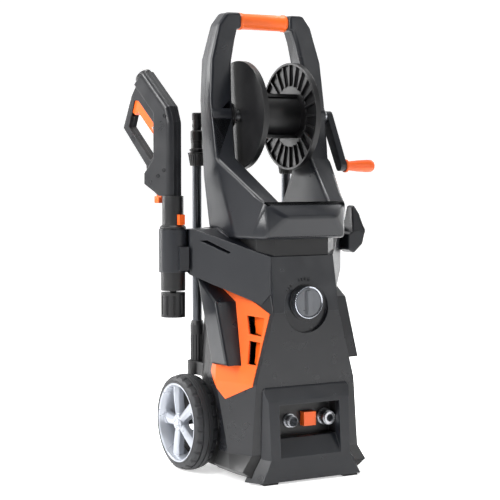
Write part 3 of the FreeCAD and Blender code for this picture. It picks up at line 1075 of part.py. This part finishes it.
doc.recompute()
for name, thing in NODES.items():
    shift = group(f"{name}_node", thing)
    thing.Label = f"{name}_form"
    shift.Label = name
    NODES[name] = place(shift, ("-origin_x", "-origin_y", "0"))
doc.recompute()
failed = [f"{item.Name}: {item.State}" for item in doc.Objects if {"Invalid", "Error"} & set(item.State)]
failed += [f"{name}: bad shape" for name, thing in NODES.items()
           if thing.Shape.isNull() or not thing.Shape.isValid() or not thing.Shape.Solids]
if failed:
    raise RuntimeError("; ".join(failed))

os.makedirs("parts", exist_ok=True)
for name, thing in NODES.items():
    thing.Shape.exportStep(f"parts/{name}.step")
    bounds = thing.Shape.BoundBox
    print(f"{name}: {len(thing.Shape.Solids)} solids, x {bounds.XMin:.1f} to {bounds.XMax:.1f}, "
          f"y {bounds.YMin:.1f} to {bounds.YMax:.1f}, z {bounds.ZMin:.1f} to {bounds.ZMax:.1f}")
print(f"{len(NODES)} nodes")
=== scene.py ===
import json
import math

import bmesh
import bpy
from mathutils import Matrix, Vector


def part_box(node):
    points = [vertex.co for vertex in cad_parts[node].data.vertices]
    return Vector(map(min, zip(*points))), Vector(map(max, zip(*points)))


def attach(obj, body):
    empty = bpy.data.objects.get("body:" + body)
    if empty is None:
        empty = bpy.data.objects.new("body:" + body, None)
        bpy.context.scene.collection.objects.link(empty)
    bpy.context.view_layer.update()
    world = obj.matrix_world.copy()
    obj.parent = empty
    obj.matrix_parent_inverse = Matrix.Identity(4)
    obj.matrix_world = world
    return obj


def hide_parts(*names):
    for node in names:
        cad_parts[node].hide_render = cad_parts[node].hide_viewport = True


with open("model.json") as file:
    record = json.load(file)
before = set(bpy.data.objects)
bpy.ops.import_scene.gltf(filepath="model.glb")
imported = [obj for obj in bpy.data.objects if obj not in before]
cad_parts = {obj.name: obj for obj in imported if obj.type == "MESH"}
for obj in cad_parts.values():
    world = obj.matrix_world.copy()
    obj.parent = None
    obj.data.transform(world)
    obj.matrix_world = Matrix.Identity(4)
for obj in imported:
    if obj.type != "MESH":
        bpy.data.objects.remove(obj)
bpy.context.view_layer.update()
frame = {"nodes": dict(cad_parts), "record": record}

nodes = frame["nodes"]
SLOT_OF = {sub["node"]: sub["material_slot"] for sub in frame["record"]["subparts"]}


# ---- places, in metres, from the CAD pieces ----

def middle(node):
    low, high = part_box(node)
    return (low + high) / 2


SIDE = middle("handle_tube").x      # the symmetry plane
REEL = Vector((SIDE, middle("reel_axle").y, middle("reel_axle").z))
SWITCH = middle("switch_ring")
MM = 0.001


def at(x, y, z):
    """A point given in millimetres from the symmetry plane, the reel axis and the floor."""
    return Vector((SIDE + x * MM, REEL.y + y * MM, z * MM))


# ---- materials ----

def linear(red, green, blue):
    """A colour given in screen values from 0 to 255."""
    return tuple(((c / 255 + 0.055) / 1.055) ** 2.4 if c > 10 else c / 255 / 12.92
                 for c in (red, green, blue))


class Stuff:
    """A node material in the making."""

    def __init__(self, name, colour, rough, metal=0.0, **sockets):
        self.material = bpy.data.materials.new(name)
        self.material.use_nodes = True
        self.tree = self.material.node_tree
        self.shader = self.tree.nodes["Principled BSDF"]
        self.shader.inputs["Base Color"].default_value = (*colour, 1)
        self.shader.inputs["Roughness"].default_value = rough
        self.shader.inputs["Metallic"].default_value = metal
        for socket, number in sockets.items():
            self.shader.inputs[socket.replace("_", " ")].default_value = number
        self.colour = colour
        self.rough = rough
        self.place = self.add("ShaderNodeTexCoord").outputs["Object"]
        self.normal = None

    def add(self, kind, **inputs):
        made = self.tree.nodes.new(kind)
        for socket, number in inputs.items():
            made.inputs[socket.replace("_", " ")].default_value = number
        return made

    def link(self, a, b):
        self.tree.links.new(a, b)

    def noise(self, scale, detail=2.0):
        made = self.add("ShaderNodeTexNoise", Scale=scale, Detail=detail)
        self.link(self.place, made.inputs["Vector"])
        return made.outputs["Fac"]

    def spread(self, value, low, high):
        made = self.add("ShaderNodeMapRange", To_Min=low, To_Max=high)
        made.inputs["From Min"].default_value = 0.3
        made.inputs["From Max"].default_value = 0.7
        self.link(value, made.inputs["Value"])
        return made.outputs["Result"]

    def soften(self, radius):
        """Rounds every edge a little in the light."""
        made = self.add("ShaderNodeBevel", Radius=radius)
        made.samples = 6
        self.normal = made.outputs["Normal"]
        self.link(self.normal, self.shader.inputs["Normal"])
        return self

    def bump(self, height, strength, distance):
        made = self.add("ShaderNodeBump", Strength=strength, Distance=distance)
        self.link(height, made.inputs["Height"])
        if self.normal:
            self.link(self.normal, made.inputs["Normal"])
        self.normal = made.outputs["Normal"]
        self.link(self.normal, self.shader.inputs["Normal"])
        return self

    def vary_rough(self, scale, amount):
        self.link(self.spread(self.noise(scale, 3.0), self.rough - amount, self.rough + amount),
                  self.shader.inputs["Roughness"])
        return self

    def vary_colour(self, scale, amount, painted_edge_glint=0.0):
        """Cloudy tone variation, and edges painted lighter as a highlight."""
        ramp = self.add("ShaderNodeMix")
        ramp.data_type = "RGBA"
        dark = tuple(c * (1 - amount) for c in self.colour)
        light = tuple(min(1.0, c * (1 + amount)) for c in self.colour)
        ramp.inputs[6].default_value = (*dark, 1)
        ramp.inputs[7].default_value = (*light, 1)
        self.link(self.spread(self.noise(scale, 4.0), 0.0, 1.0), ramp.inputs["Factor"])
        out = ramp.outputs[2]
        # painted highlight: the colour turns paler where the rounded-edge normal leaves the face normal
        if painted_edge_glint:
            edge = self.add("ShaderNodeVectorMath")
            edge.operation = "DOT_PRODUCT"
            self.link(self.normal, edge.inputs[0])
            self.link(self.add("ShaderNodeNewGeometry").outputs["Normal"], edge.inputs[1])
            sharp = self.add("ShaderNodeMapRange", To_Min=painted_edge_glint, To_Max=0.0)
            sharp.inputs["From Min"].default_value = 0.8
            sharp.inputs["From Max"].default_value = 0.985
            self.link(edge.outputs["Value"], sharp.inputs["Value"])
            mix = self.add("ShaderNodeMix")
            mix.data_type = "RGBA"
            # pale is the colour of the painted edge highlight
            pale = tuple(min(1.0, c * 1.8 + 0.02) for c in self.colour)
            mix.inputs[7].default_value = (*pale, 1)
            self.link(sharp.outputs["Result"], mix.inputs["Factor"])
            self.link(out, mix.inputs[6])
            out = mix.outputs[2]
        self.link(out, self.shader.inputs["Base Color"])
        return self


def moulded(name, colour, rough, grain=0.12, soft=0.0016, painted_edge_glint=0.25, metallic=0.0):
    """Moulded plastic: fine leathery grain, slightly uneven gloss, edges painted a little paler as a
    highlight.
    """
    stuff = Stuff(name, colour, rough, metallic).soften(soft)
    stuff.vary_rough(30.0, 0.05).vary_colour(9.0, 0.07, painted_edge_glint)
    return stuff.bump(stuff.noise(1500.0, 3.0), grain, 0.0003).material


def metal(name, colour, rough, soft=0.0008, streak=(20.0, 20.0, 900.0)):
    """Metal with fine streaks along one direction."""
    stuff = Stuff(name, colour, rough, 1.0).soften(soft)
    stretch = stuff.add("ShaderNodeMapping")
    stretch.inputs["Scale"].default_value = streak
    stuff.link(stuff.place, stretch.inputs["Vector"])
    lines = stuff.add("ShaderNodeTexNoise", Scale=1.0, Detail=3.0)
    stuff.link(stretch.outputs["Vector"], lines.inputs["Vector"])
    stuff.link(stuff.spread(lines.outputs["Fac"], rough - 0.06, rough + 0.08),
               stuff.shader.inputs["Roughness"])
    return stuff.bump(lines.outputs["Fac"], 0.02, 0.0001).material


# the sixth argument of moulded(), 0.25 when left out, sets the painted edge highlight
MATERIALS = {
    "grey_plastic": moulded("grey_plastic", linear(24, 26, 31), 0.32),
    "panel_plastic": moulded("panel_plastic", linear(21, 22, 26), 0.3, 0.06),
    "black_plastic": moulded("black_plastic", linear(12, 12, 14), 0.4),
    "gun_plastic": moulded("gun_plastic", linear(20, 21, 25), 0.32, 0.1, 0.002),
    "orange_plastic": moulded("orange_plastic", linear(242, 98, 26), 0.34, 0.08, 0.0016, 0.15),
    "orange_grip": moulded("orange_grip", linear(244, 104, 28), 0.45, 0.3, 0.0016, 0.1),
    "tyre": moulded("tyre", linear(34, 35, 38), 0.55, 0.35, 0.0008, 0.2),
    "silver_paint": moulded("silver_paint", linear(172, 176, 184), 0.3, 0.05, 0.0016, 0.1, 0.55),
    "chrome": metal("chrome", linear(190, 194, 202), 0.14),
    "silver_plastic": moulded("silver_plastic", linear(104, 106, 110), 0.32, 0.06, 0.001, 0.2, 0.4),
    "steel": metal("steel", linear(176, 178, 182), 0.28),
    "dark_steel": metal("dark_steel", linear(82, 84, 88), 0.3, streak=(700.0, 700.0, 8.0)),
    "brass": metal("brass", linear(198, 164, 96), 0.3),
    "cast_aluminium": metal("cast_aluminium", linear(150, 152, 156), 0.5, streak=(300.0, 300.0, 300.0)),
    "rubber": moulded("rubber", linear(18, 18, 19), 0.7, 0.3, 0.001, 0.1),
    # dark_gap: black plastic painted darker and more matte, as painted shade in the gaps between spokes and
    # in sunk screw holes
    "dark_gap": moulded("dark_gap", linear(8, 8, 9), 0.8, 0.1, 0.0005, 0.0),
}
SPECIAL = {
    "front_cover": "panel_plastic", "gun_shell_left": "gun_plastic", "gun_shell_right": "gun_plastic",
    "lance_left_tube": "dark_steel", "lance_right_tube": "dark_steel",
}


def coat(piece, name):
    """Gives a piece one material from the table."""
    piece.data.materials.clear()
    piece.data.materials.append(MATERIALS[name])


for node, slot in SLOT_OF.items():
    coat(nodes[node], SPECIAL.get(node, slot))

# ---- pieces made here ----

BODY_OF = {node: body for body, names in frame["record"]["behaviour"]["bodies"].items()
           for node in names}


def piece(name, form, body, slot, material=None, replaced=(), crease=35.0):
    """Turns a mesh under construction into a piece that rides on a CAD body."""
    bmesh.ops.recalc_face_normals(form, faces=form.faces)
    mesh = bpy.data.meshes.new(name)
    form.to_mesh(mesh)
    form.free()
    mesh.shade_smooth()
    mesh.set_sharp_from_angle(angle=math.radians(crease))
    made = bpy.data.objects.new(name, mesh)
    bpy.context.scene.collection.objects.link(made)
    coat(made, material or slot)
    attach(made, body)
    if replaced:
        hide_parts(*replaced)
    return made


def lathe(profile, steps, wave=None, form=None):
    """A closed profile of (radius, height) points turned about Z; wave adds to a radius."""
    form = form or bmesh.new()
    rings = []
    for step in range(steps):
        angle = 2 * math.pi * step / steps
        ring = []
        for index, (radius, height) in enumerate(profile):
            out = radius + (wave(index, step) if wave else 0.0)
            ring.append(form.verts.new((out * math.cos(angle), out * math.sin(angle), height)))
        rings.append(ring)
    for near, far in zip(rings, rings[1:] + rings[:1]):
        for i in range(len(profile)):
            j = (i + 1) % len(profile)
            form.faces.new((near[i], near[j], far[j], far[i]))
    return form


def loft(sections, form=None):
    """Joins closed sections of 3-D points, with flat ends."""
    form = form or bmesh.new()
    rows = [[form.verts.new(point) for point in section] for section in sections]
    for near, far in zip(rows, rows[1:]):
        for i in range(len(near)):
            j = (i + 1) % len(near)
            form.faces.new((near[i], near[j], far[j], far[i]))
    form.faces.new(rows[0])
    form.faces.new(rows[-1])
    return form


def placed(form, centre, axis):
    """Moves a form made about Z so that its Z lies along axis, at centre."""
    turn = Vector(axis).to_track_quat("Z", "Y").to_matrix().to_4x4()
    form.transform(Matrix.Translation(centre) @ turn)
    return form


SAME_POINT = 0.00001                # vertices nearer than this are one
FLAT_ANGLE = math.radians(1.5)      # faces that differ by less are one face
SHARP_ANGLE = math.radians(20)      # edges that turn by more are rounded
EDGE_SEGMENTS = 3


def softened(node, radius, keep):
    """A copy of a CAD piece in its place, with rounded outer edges."""
    form = bmesh.new()
    form.from_mesh(nodes[node].data)
    bmesh.ops.remove_doubles(form, verts=form.verts, dist=SAME_POINT)
    bmesh.ops.dissolve_limit(form, angle_limit=FLAT_ANGLE, verts=form.verts, edges=form.edges)
    edges = [e for e in form.edges if len(e.link_faces) == 2 and e.is_convex
             and e.calc_face_angle(0.0) > SHARP_ANGLE and e.calc_length() > radius and keep(e)]
    bmesh.ops.bevel(form, geom=edges, offset=radius, segments=EDGE_SEGMENTS, profile=0.5,
                    affect="EDGES", clamp_overlap=False)
    made = piece(node + "_soft", form, BODY_OF[node], SLOT_OF[node], None, (node,))
    made.modifiers.new("flat faces", "WEIGHTED_NORMAL").keep_sharp = True
    return made


# handle frame: every outer edge rounded, the seam between its halves left crisp
seam_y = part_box("frame_back")[0].y


SEAM_REACH = 0.0004
BORE_REACH = 0.034                  # the bores round the reel's axle end inside this radius


def outside(edge):
    """True away from the seam and from the bores round the reel's axle."""
    middle_point = (edge.verts[0].co + edge.verts[1].co) / 2 - REEL
    return (not all(abs(v.co.y - seam_y) < SEAM_REACH for v in edge.verts)
            and math.hypot(middle_point.y, middle_point.z) > BORE_REACH)


for half in ("frame_front", "frame_back"):
    softened(half, 0.006, outside)
softened("cord_hook", 0.0035, lambda edge: True)


# ---- wheels ----

def tyre(side, sign):
    low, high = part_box(f"tyre_{side}")
    rim_low, rim_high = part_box(f"rim_{side}")
    radius, rim_radius = (high.z - low.z) / 2, (rim_high.z - rim_low.z) / 2
    width = high.x - low.x
    outer = Vector((low.x if sign > 0 else high.x, (low.y + high.y) / 2, (low.z + high.z) / 2))
    half = [(rim_radius - 0.003, 0.0016), (rim_radius + 0.0008, 0.0), (rim_radius + 0.003, 0.0004),
            (rim_radius + 0.0034, 0.0012), (rim_radius + 0.0042, 0.0012), (rim_radius + 0.0048, 0.0006),
            (radius - 0.0075, 0.0022), (radius - 0.0045, 0.0042), (radius - 0.0028, 0.0078),
            (radius - 0.0022, 0.0125), (radius - 0.0042, 0.0129), (radius - 0.0042, 0.0147),
            (radius - 0.001, 0.0151), (radius, width / 2 - 0.0015), (radius - 0.002, width / 2 - 0.0012)]
    shoulder = (7, 8, 9)
    count = len(half)
    profile = half + [(r, width - h) for r, h in reversed(half)]

    def lugs(index, step):
        place = index if index < count else 2 * count - 1 - index
        return -0.0022 if place in shoulder and step % 8 < 2 else 0.0

    form = placed(lathe(profile, 192, lugs), outer, (sign, 0, 0))
    piece(f"tyre_{side}_tread", form, f"wheel_{side}", "tyre", None, (f"tyre_{side}",), 28.0)


def rim(side, sign):
    low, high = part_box(f"rim_{side}")
    radius = (high.z - low.z) / 2
    outer = Vector((low.x if sign > 0 else high.x, (low.y + high.y) / 2, (low.z + high.z) / 2))
    depth = 0.036
    band = [(radius, 0.0003), (radius - 0.0022, 0.0003), (radius - 0.0034, 0.0012), (radius - 0.0058, 0.006),
            (radius - 0.0095, 0.014), (radius - 0.0115, depth), (radius, depth)]
    form = lathe(band, 120)
    for number in range(5):
        turn = Matrix.Rotation(math.radians(72 * number), 4, "Z")
        rows = []
        for reach, half, face in ((0.008, 0.0072, 0.0035), (0.02, 0.0078, 0.003), (0.045, 0.0098, 0.0042),
                                  (radius - 0.0068, 0.0128, 0.007)):
            rows.append([turn @ Vector((reach, across, down)) for across, down in (
                (-half, face + 0.016), (-half, face + 0.005), (-half * 0.78, face + 0.0028),
                (half * 0.1, face), (half * 0.3, face), (half * 0.92, face + 0.0046),
                (half, face + 0.0062), (half, face + 0.016))])
        loft(rows, form)
    lathe([(0.0142, 0.0022), (0.0156, 0.0036), (0.0162, 0.02), (0.006, 0.02), (0.006, 0.0022)], 60, form=form)
    piece(f"rim_{side}_spokes", placed(form, outer, (sign, 0, 0)), f"wheel_{side}", "silver_paint", None,
          (f"rim_{side}",), 24.0)
    star = bmesh.new()
    rows = []
    for scale, height in ((1.0, 0.0024), (1.0, 0.0012), (0.82, 0.0006), (0.7, 0.0006), (0.55, 0.002)):
        rows.append([Vector((math.cos(math.pi * k / 5), math.sin(math.pi * k / 5), 0)) * scale
                     * (0.0125 if k % 2 == 0 else 0.0092) + Vector((0, 0, height)) for k in range(10)])
    loft(rows, star)
    piece(f"hub_star_{side}", placed(star, outer, (sign, 0, 0)), f"wheel_{side}", "silver_paint")
    web = lathe([(0.0165, depth - 0.002), (radius - 0.0105, depth - 0.002), (radius - 0.0105, depth),
                 (0.0165, depth)], 96)
    # the web behind the spokes: black plastic, painted near-black as shade in the gaps
    piece(f"wheel_web_{side}", placed(web, outer, (sign, 0, 0)), f"wheel_{side}", "black_plastic", "dark_gap")


for side, sign in (("left", 1), ("right", -1)):
    tyre(side, sign)
    rim(side, sign)


# ---- switch: knurled ring and marks ----

ring_low, ring_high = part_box("switch_ring")
ring_radius = (ring_high.z - ring_low.z) / 2
ring_deep = ring_high.y - ring_low.y
knurl = lathe([(ring_radius - 0.0036, 0.0012), (ring_radius - 0.0016, 0.0), (ring_radius - 0.0006, 0.0008),
               (ring_radius, 0.0028), (ring_radius, ring_deep - 0.001), (ring_radius - 0.0012, ring_deep),
               (ring_radius - 0.0042, ring_deep)], 180,
              lambda index, step: -0.0009 if index in (3, 4) and step % 5 == 0 else 0.0)
piece("switch_knurl", placed(knurl, (SWITCH.x, ring_low.y, SWITCH.z), (0, 1, 0)), "switch", "chrome", None,
      ("switch_ring",), 30.0)


# ---- vents: orange scoops behind the windows ----

WINDOWS = {
    "high": ((-96, 304), (-136, 301), (-139, 268), (-110, 271)),
    "low": ((-114, 259), (-140, 257), (-142, 216), (-122, 217)),
}


def skin(side, y, z):
    """How far out the vent panel's surface is at a point given by its y and z in millimetres."""
    spot = at(0, y, z)
    sign = -1 if side == "left" else 1
    start = Vector((SIDE + sign * 0.3, spot.y, spot.z))
    hit, where, _, _ = nodes[f"vent_panel_{side}"].ray_cast(start, Vector((-sign, 0, 0)))
    return abs(where.x - SIDE) if hit else None


def scoop(side, name, corners):
    """A sloping orange face with side cheeks, sunk from the window's front edge to its back edge."""
    sign = -1 if side == "left" else 1
    (by, bz), (fy, fz), (ly, lz), (iy, iz) = corners
    outs = [skin(side, y + dy, z + dz) for y, z, dy, dz in ((by, bz, 3, 2), (fy, fz, -1, 2), (ly, lz, -1, -2),
                                                           (iy, iz, 3, -2))]
    known = [out for out in outs if out]
    outs = [out if out else sum(known) / len(known) for out in outs]
    drop = (0.017, 0.004, 0.004, 0.017)
    form = bmesh.new()
    rows = []
    for extra in (0.0, 0.002):
        rows.append([form.verts.new((SIDE + sign * (out - deep - extra), at(0, y, z).y, at(0, y, z).z))
                     for (y, z), out, deep in zip(corners, outs, drop)])
    top, under = rows
    form.faces.new(top)
    form.faces.new(under)
    for i in range(4):
        form.faces.new((top[i], top[(i + 1) % 4], under[(i + 1) % 4], under[i]))
    bmesh.ops.subdivide_edges(form, edges=form.edges, cuts=3, use_grid_fill=True)
    piece(f"vent_scoop_{side}_{name}", form, "chassis", "orange_plastic")


for side in ("left", "right"):
    for name, corners in WINDOWS.items():
        scoop(side, name, corners)


# ---- spray gun: screw heads in both shells ----

def gun_frame():
    """A point under the barrel's axis, and the level direction towards the gun's guard."""
    barrel_low, barrel_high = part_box("gun_barrel")
    foot = Vector(((barrel_low.x + barrel_high.x) / 2, (barrel_low.y + barrel_high.y) / 2, 0))
    inlet = middle("gun_hose_inlet")
    ahead = Vector((inlet.x - foot.x, inlet.y - foot.y, 0)).normalized()
    return foot, ahead


GUN, AHEAD = gun_frame()
ACROSS = Vector((0, 0, 1)).cross(AHEAD)


def screw(name, spot, axis, radius, body, slot, material):
    """A sunk screw head with an open centre, set in a raised rim."""
    head = lathe([(radius * 1.25, 0.0), (radius * 1.25, 0.0012), (radius * 1.05, 0.0016),
                  (radius * 0.95, 0.0006), (radius * 0.3, 0.0004), (radius * 0.3, 0.0)], 40)
    piece(name, placed(head, spot, axis), body, slot, material)


def gun_surface(ahead, height, side):
    """The shell's surface on one side of the gun, at a distance ahead of the barrel line and a height."""
    shell = nodes["gun_shell_left" if side < 0 else "gun_shell_right"]
    spot = GUN + AHEAD * ahead * MM + Vector((0, 0, height * MM))
    for out in (-1, 1):
        start = spot + ACROSS * out * 0.08
        hit, where, normal, _ = shell.ray_cast(start, -ACROSS * out)
        if hit and (where - start).length < 0.079:
            return where, normal, ACROSS * out
    return None


for number, (ahead, height) in enumerate(((4, 672), (22, 560), (6, 571), (48, 580))):
    for side in (-1, 1):
        found = gun_surface(ahead, height, side)
        if found:
            where, normal, out = found
            # screw heads: black plastic, painted near-black as shade in the sunk holes
            screw(f"gun_screw_{number}_{'left' if side < 0 else 'right'}", where - out * 0.0006, out, 0.003,
                  "gun", "black_plastic", "dark_gap")


# ---- lance collars: fluted skirts and stepped nipples ----

def lance_top(side):
    """The lance's inlet end: a fluted nut that narrows downwards and a stepped nipple."""
    low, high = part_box(f"lance_{side}_collar")
    centre = (low + high) / 2
    radius = (high.x - low.x) / 2
    tall = high.z - low.z
    flutes = [(0.0095, 0.0), (radius * 0.7, 0.0), (radius * 0.76, 0.0012), (radius * 0.95, 0.0215),
              (radius, 0.0228), (radius, 0.0254), (radius * 0.82, 0.0262), (0.0128, 0.0262), (0.0095, 0.0262)]
    nut = lathe(flutes, 160, lambda index, step: -0.0011 if index in (2, 3) and step % 8 < 3 else 0.0)
    placed(nut, Vector((centre.x, centre.y, low.z)), (0, 0, 1))
    nipple = [(0.0, 0.0262), (0.0128, 0.0262), (0.0128, 0.0285), (0.0148, 0.0298), (0.0148, 0.0325),
              (0.0122, 0.0334), (0.0112, 0.0345), (0.0112, 0.0435), (0.0119, 0.044), (0.0119, 0.0475),
              (0.0112, 0.048), (0.0125, 0.0495), (0.0125, 0.0668), (0.0112, 0.068), (0.0088, 0.0688),
              (0.0088, 0.0745), (0.0095, 0.0755), (0.0095, 0.0805), (0.0088, 0.0815), (0.0088, 0.0885),
              (0.0098, 0.0892), (0.0098, tall - 0.002), (0.0084, tall), (0.004, tall), (0.004, tall - 0.02),
              (0.0, tall - 0.02)]
    steps = 72
    centre_low = Vector((centre.x, centre.y, low.z))
    turned = bmesh.new()
    inside = [(max(radius, 0.0008), height) for radius, height in nipple]
    lathe(inside, steps, form=turned)
    placed(turned, centre_low, (0, 0, 1))
    body = f"lance_{side}"
    piece(f"lance_{side}_nut", nut, body, "black_plastic", None, (f"lance_{side}_collar",), 26.0)
    piece(f"lance_{side}_nipple", turned, body, "black_plastic", None, (), 26.0)


for side in ("left", "right"):
    lance_top(side)


# ---- handle grip: a sleeve with stepped, rounded ends ----

grip_low, grip_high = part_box("handle_grip")
grip_half = (grip_high.x - grip_low.x) / 2
grip_radius = min(grip_high.y - grip_low.y, grip_high.z - grip_low.z) / 2
tube_radius = (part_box("handle_tube")[1].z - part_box("handle_tube")[0].z) / 2
run = [(tube_radius, 0.0), (grip_radius - 0.0024, 0.0), (grip_radius - 0.0009, 0.0006), (grip_radius, 0.0022),
       (grip_radius, 0.007), (grip_radius - 0.0012, 0.0092)]
grip = lathe(run + [(r, 2 * grip_half - h) for r, h in reversed(run)], 96)
grip_middle = (grip_low + grip_high) / 2
piece("grip_sleeve", placed(grip, (grip_low.x, grip_middle.y, grip_middle.z), (1, 0, 0)), "chassis",
      "orange_grip", None, ("handle_grip",), 50.0)


# ---- crank knob: flange and shallow flutes ----

knob_low, knob_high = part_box("crank_knob")
knob_middle = (knob_low + knob_high) / 2
knob_radius = min(knob_high.y - knob_low.y, knob_high.z - knob_low.z) / 2
knob_long = knob_high.x - knob_low.x
knob = lathe([(0.004, 0.0), (knob_radius * 0.96, 0.0), (knob_radius, 0.0014), (knob_radius * 0.98, 0.004),
              (knob_radius * 0.7, 0.0058), (knob_radius * 0.72, 0.012), (knob_radius * 0.86, 0.03),
              (knob_radius * 0.94, knob_long - 0.012), (knob_radius * 0.9, knob_long - 0.004),
              (knob_radius * 0.74, knob_long - 0.0008), (knob_radius * 0.4, knob_long),
              (0.004, knob_long)], 96,
             lambda index, step: -0.0009 if index in (6, 7) and step % 16 < 3 else 0.0)
piece("knob_fluted", placed(knob, (knob_low.x, knob_middle.y, knob_middle.z), (1, 0, 0)), "crank_grip",
      "orange_plastic", None, ("crank_knob",), 40.0)


# ---- marks at the dial ----

face_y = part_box("switch_skirt")[1].y
marks = bmesh.new()
for angle, length in ((-14, 0.006), (-5, 0.006), (4, 0.006), (13, 0.006),
                      (44, 0.005), (52, 0.007), (60, 0.007)):
    turn = Matrix.Rotation(math.radians(-angle), 4, "Y")
    spin = Matrix.Translation((SWITCH.x, face_y - 0.0002, SWITCH.z))
    rows = [[spin @ turn @ Vector((across, deep, 0.0395 + up)) for across, up in (
        (-0.0008, 0.0), (0.0008, 0.0), (0.0008, length), (-0.0008, length))] for deep in (0.0006, -0.0003)]
    loft(rows, marks)
piece("dial_marks", marks, "chassis", "black_plastic")


# ---- camera, lights, floor ----

camera = bpy.data.objects.new("camera", bpy.data.cameras.new("camera"))
bpy.context.scene.collection.objects.link(camera)
camera.location = at(-1408.6, -2422.4, 579.5)
camera.rotation_euler = (math.radians(90 - 3.32), 0, math.radians(-29.58))
camera.data.sensor_width = 36.0
camera.data.lens = 1454.12 / 500 * 36.0
bpy.context.scene.camera = camera


def lamp(name, place, target, size, power, colour=(1, 1, 1)):
    light = bpy.data.lights.new(name, "AREA")
    light.shape = "RECTANGLE"
    light.size, light.size_y = size
    light.energy = power
    light.color = colour
    holder = bpy.data.objects.new(name, light)
    bpy.context.scene.collection.objects.link(holder)
    holder.location = place
    holder.rotation_euler = (Vector(target) - Vector(place)).to_track_quat("-Z", "Y").to_euler()


lamp("key", (-2.2, -0.5, 1.9), (0, 0, 0.5), (0.35, 1.8), 60)
lamp("fill", (1.6, -2.4, 1.4), (0, 0, 0.45), (0.6, 1.8), 9)
lamp("top", (0.1, 0.2, 2.4), (0, 0, 0.5), (0.9, 0.9), 34)
lamp("edge_left", (-1.5, 1.7, 1.2), (0, 0, 0.5), (0.5, 1.8), 40)
lamp("edge_right", (1.9, 0.7, 1.1), (0, 0, 0.5), (0.4, 1.6), 22)

world = bpy.data.worlds.new("studio")
bpy.context.scene.world = world
world.use_nodes = True
sky = world.node_tree
toward = sky.nodes.new("ShaderNodeTexCoord")
parts = sky.nodes.new("ShaderNodeSeparateXYZ")
depth = sky.nodes.new("ShaderNodeMapRange")
for socket, number in (("From Min", -0.8), ("From Max", 0.6), ("To Min", 0.12), ("To Max", 0.9)):
    depth.inputs[socket].default_value = number
sky.links.new(toward.outputs["Generated"], parts.inputs["Vector"])
sky.links.new(parts.outputs["Y"], depth.inputs["Value"])
sky.links.new(depth.outputs["Result"], sky.nodes["Background"].inputs["Strength"])
sky.nodes["Background"].inputs["Color"].default_value = (1, 1, 1, 1)
bpy.context.scene.view_settings.view_transform = "Standard"


def backdrop():
    """A pale floor that curves up into a wall behind the object."""
    mesh = bpy.data.meshes.new("floor")
    half, radius, start = 14.0, 3.0, 9.0
    run = [(-half, 0.0)]
    run += [(start + radius * math.sin(t * math.pi / 32), radius - radius * math.cos(t * math.pi / 32))
            for t in range(17)]
    run.append((start + radius, half))
    points = [(x, y, z) for y, z in run for x in (-half, half)]
    faces = [(2 * i, 2 * i + 1, 2 * i + 3, 2 * i + 2) for i in range(len(run) - 1)]
    mesh.from_pydata(points, [], faces)
    mesh.shade_smooth()
    paper = Stuff("floor_paper", (0.93, 0.93, 0.93), 0.95, Emission_Strength=0.55)
    paper.shader.inputs["Emission Color"].default_value = (1, 1, 1, 1)
    paper.vary_rough(3.0, 0.04)
    mesh.materials.append(paper.material)
    made = bpy.data.objects.new("floor", mesh)
    bpy.context.scene.collection.objects.link(made)
    made.rotation_euler = (0, 0, camera.rotation_euler.z)


backdrop()
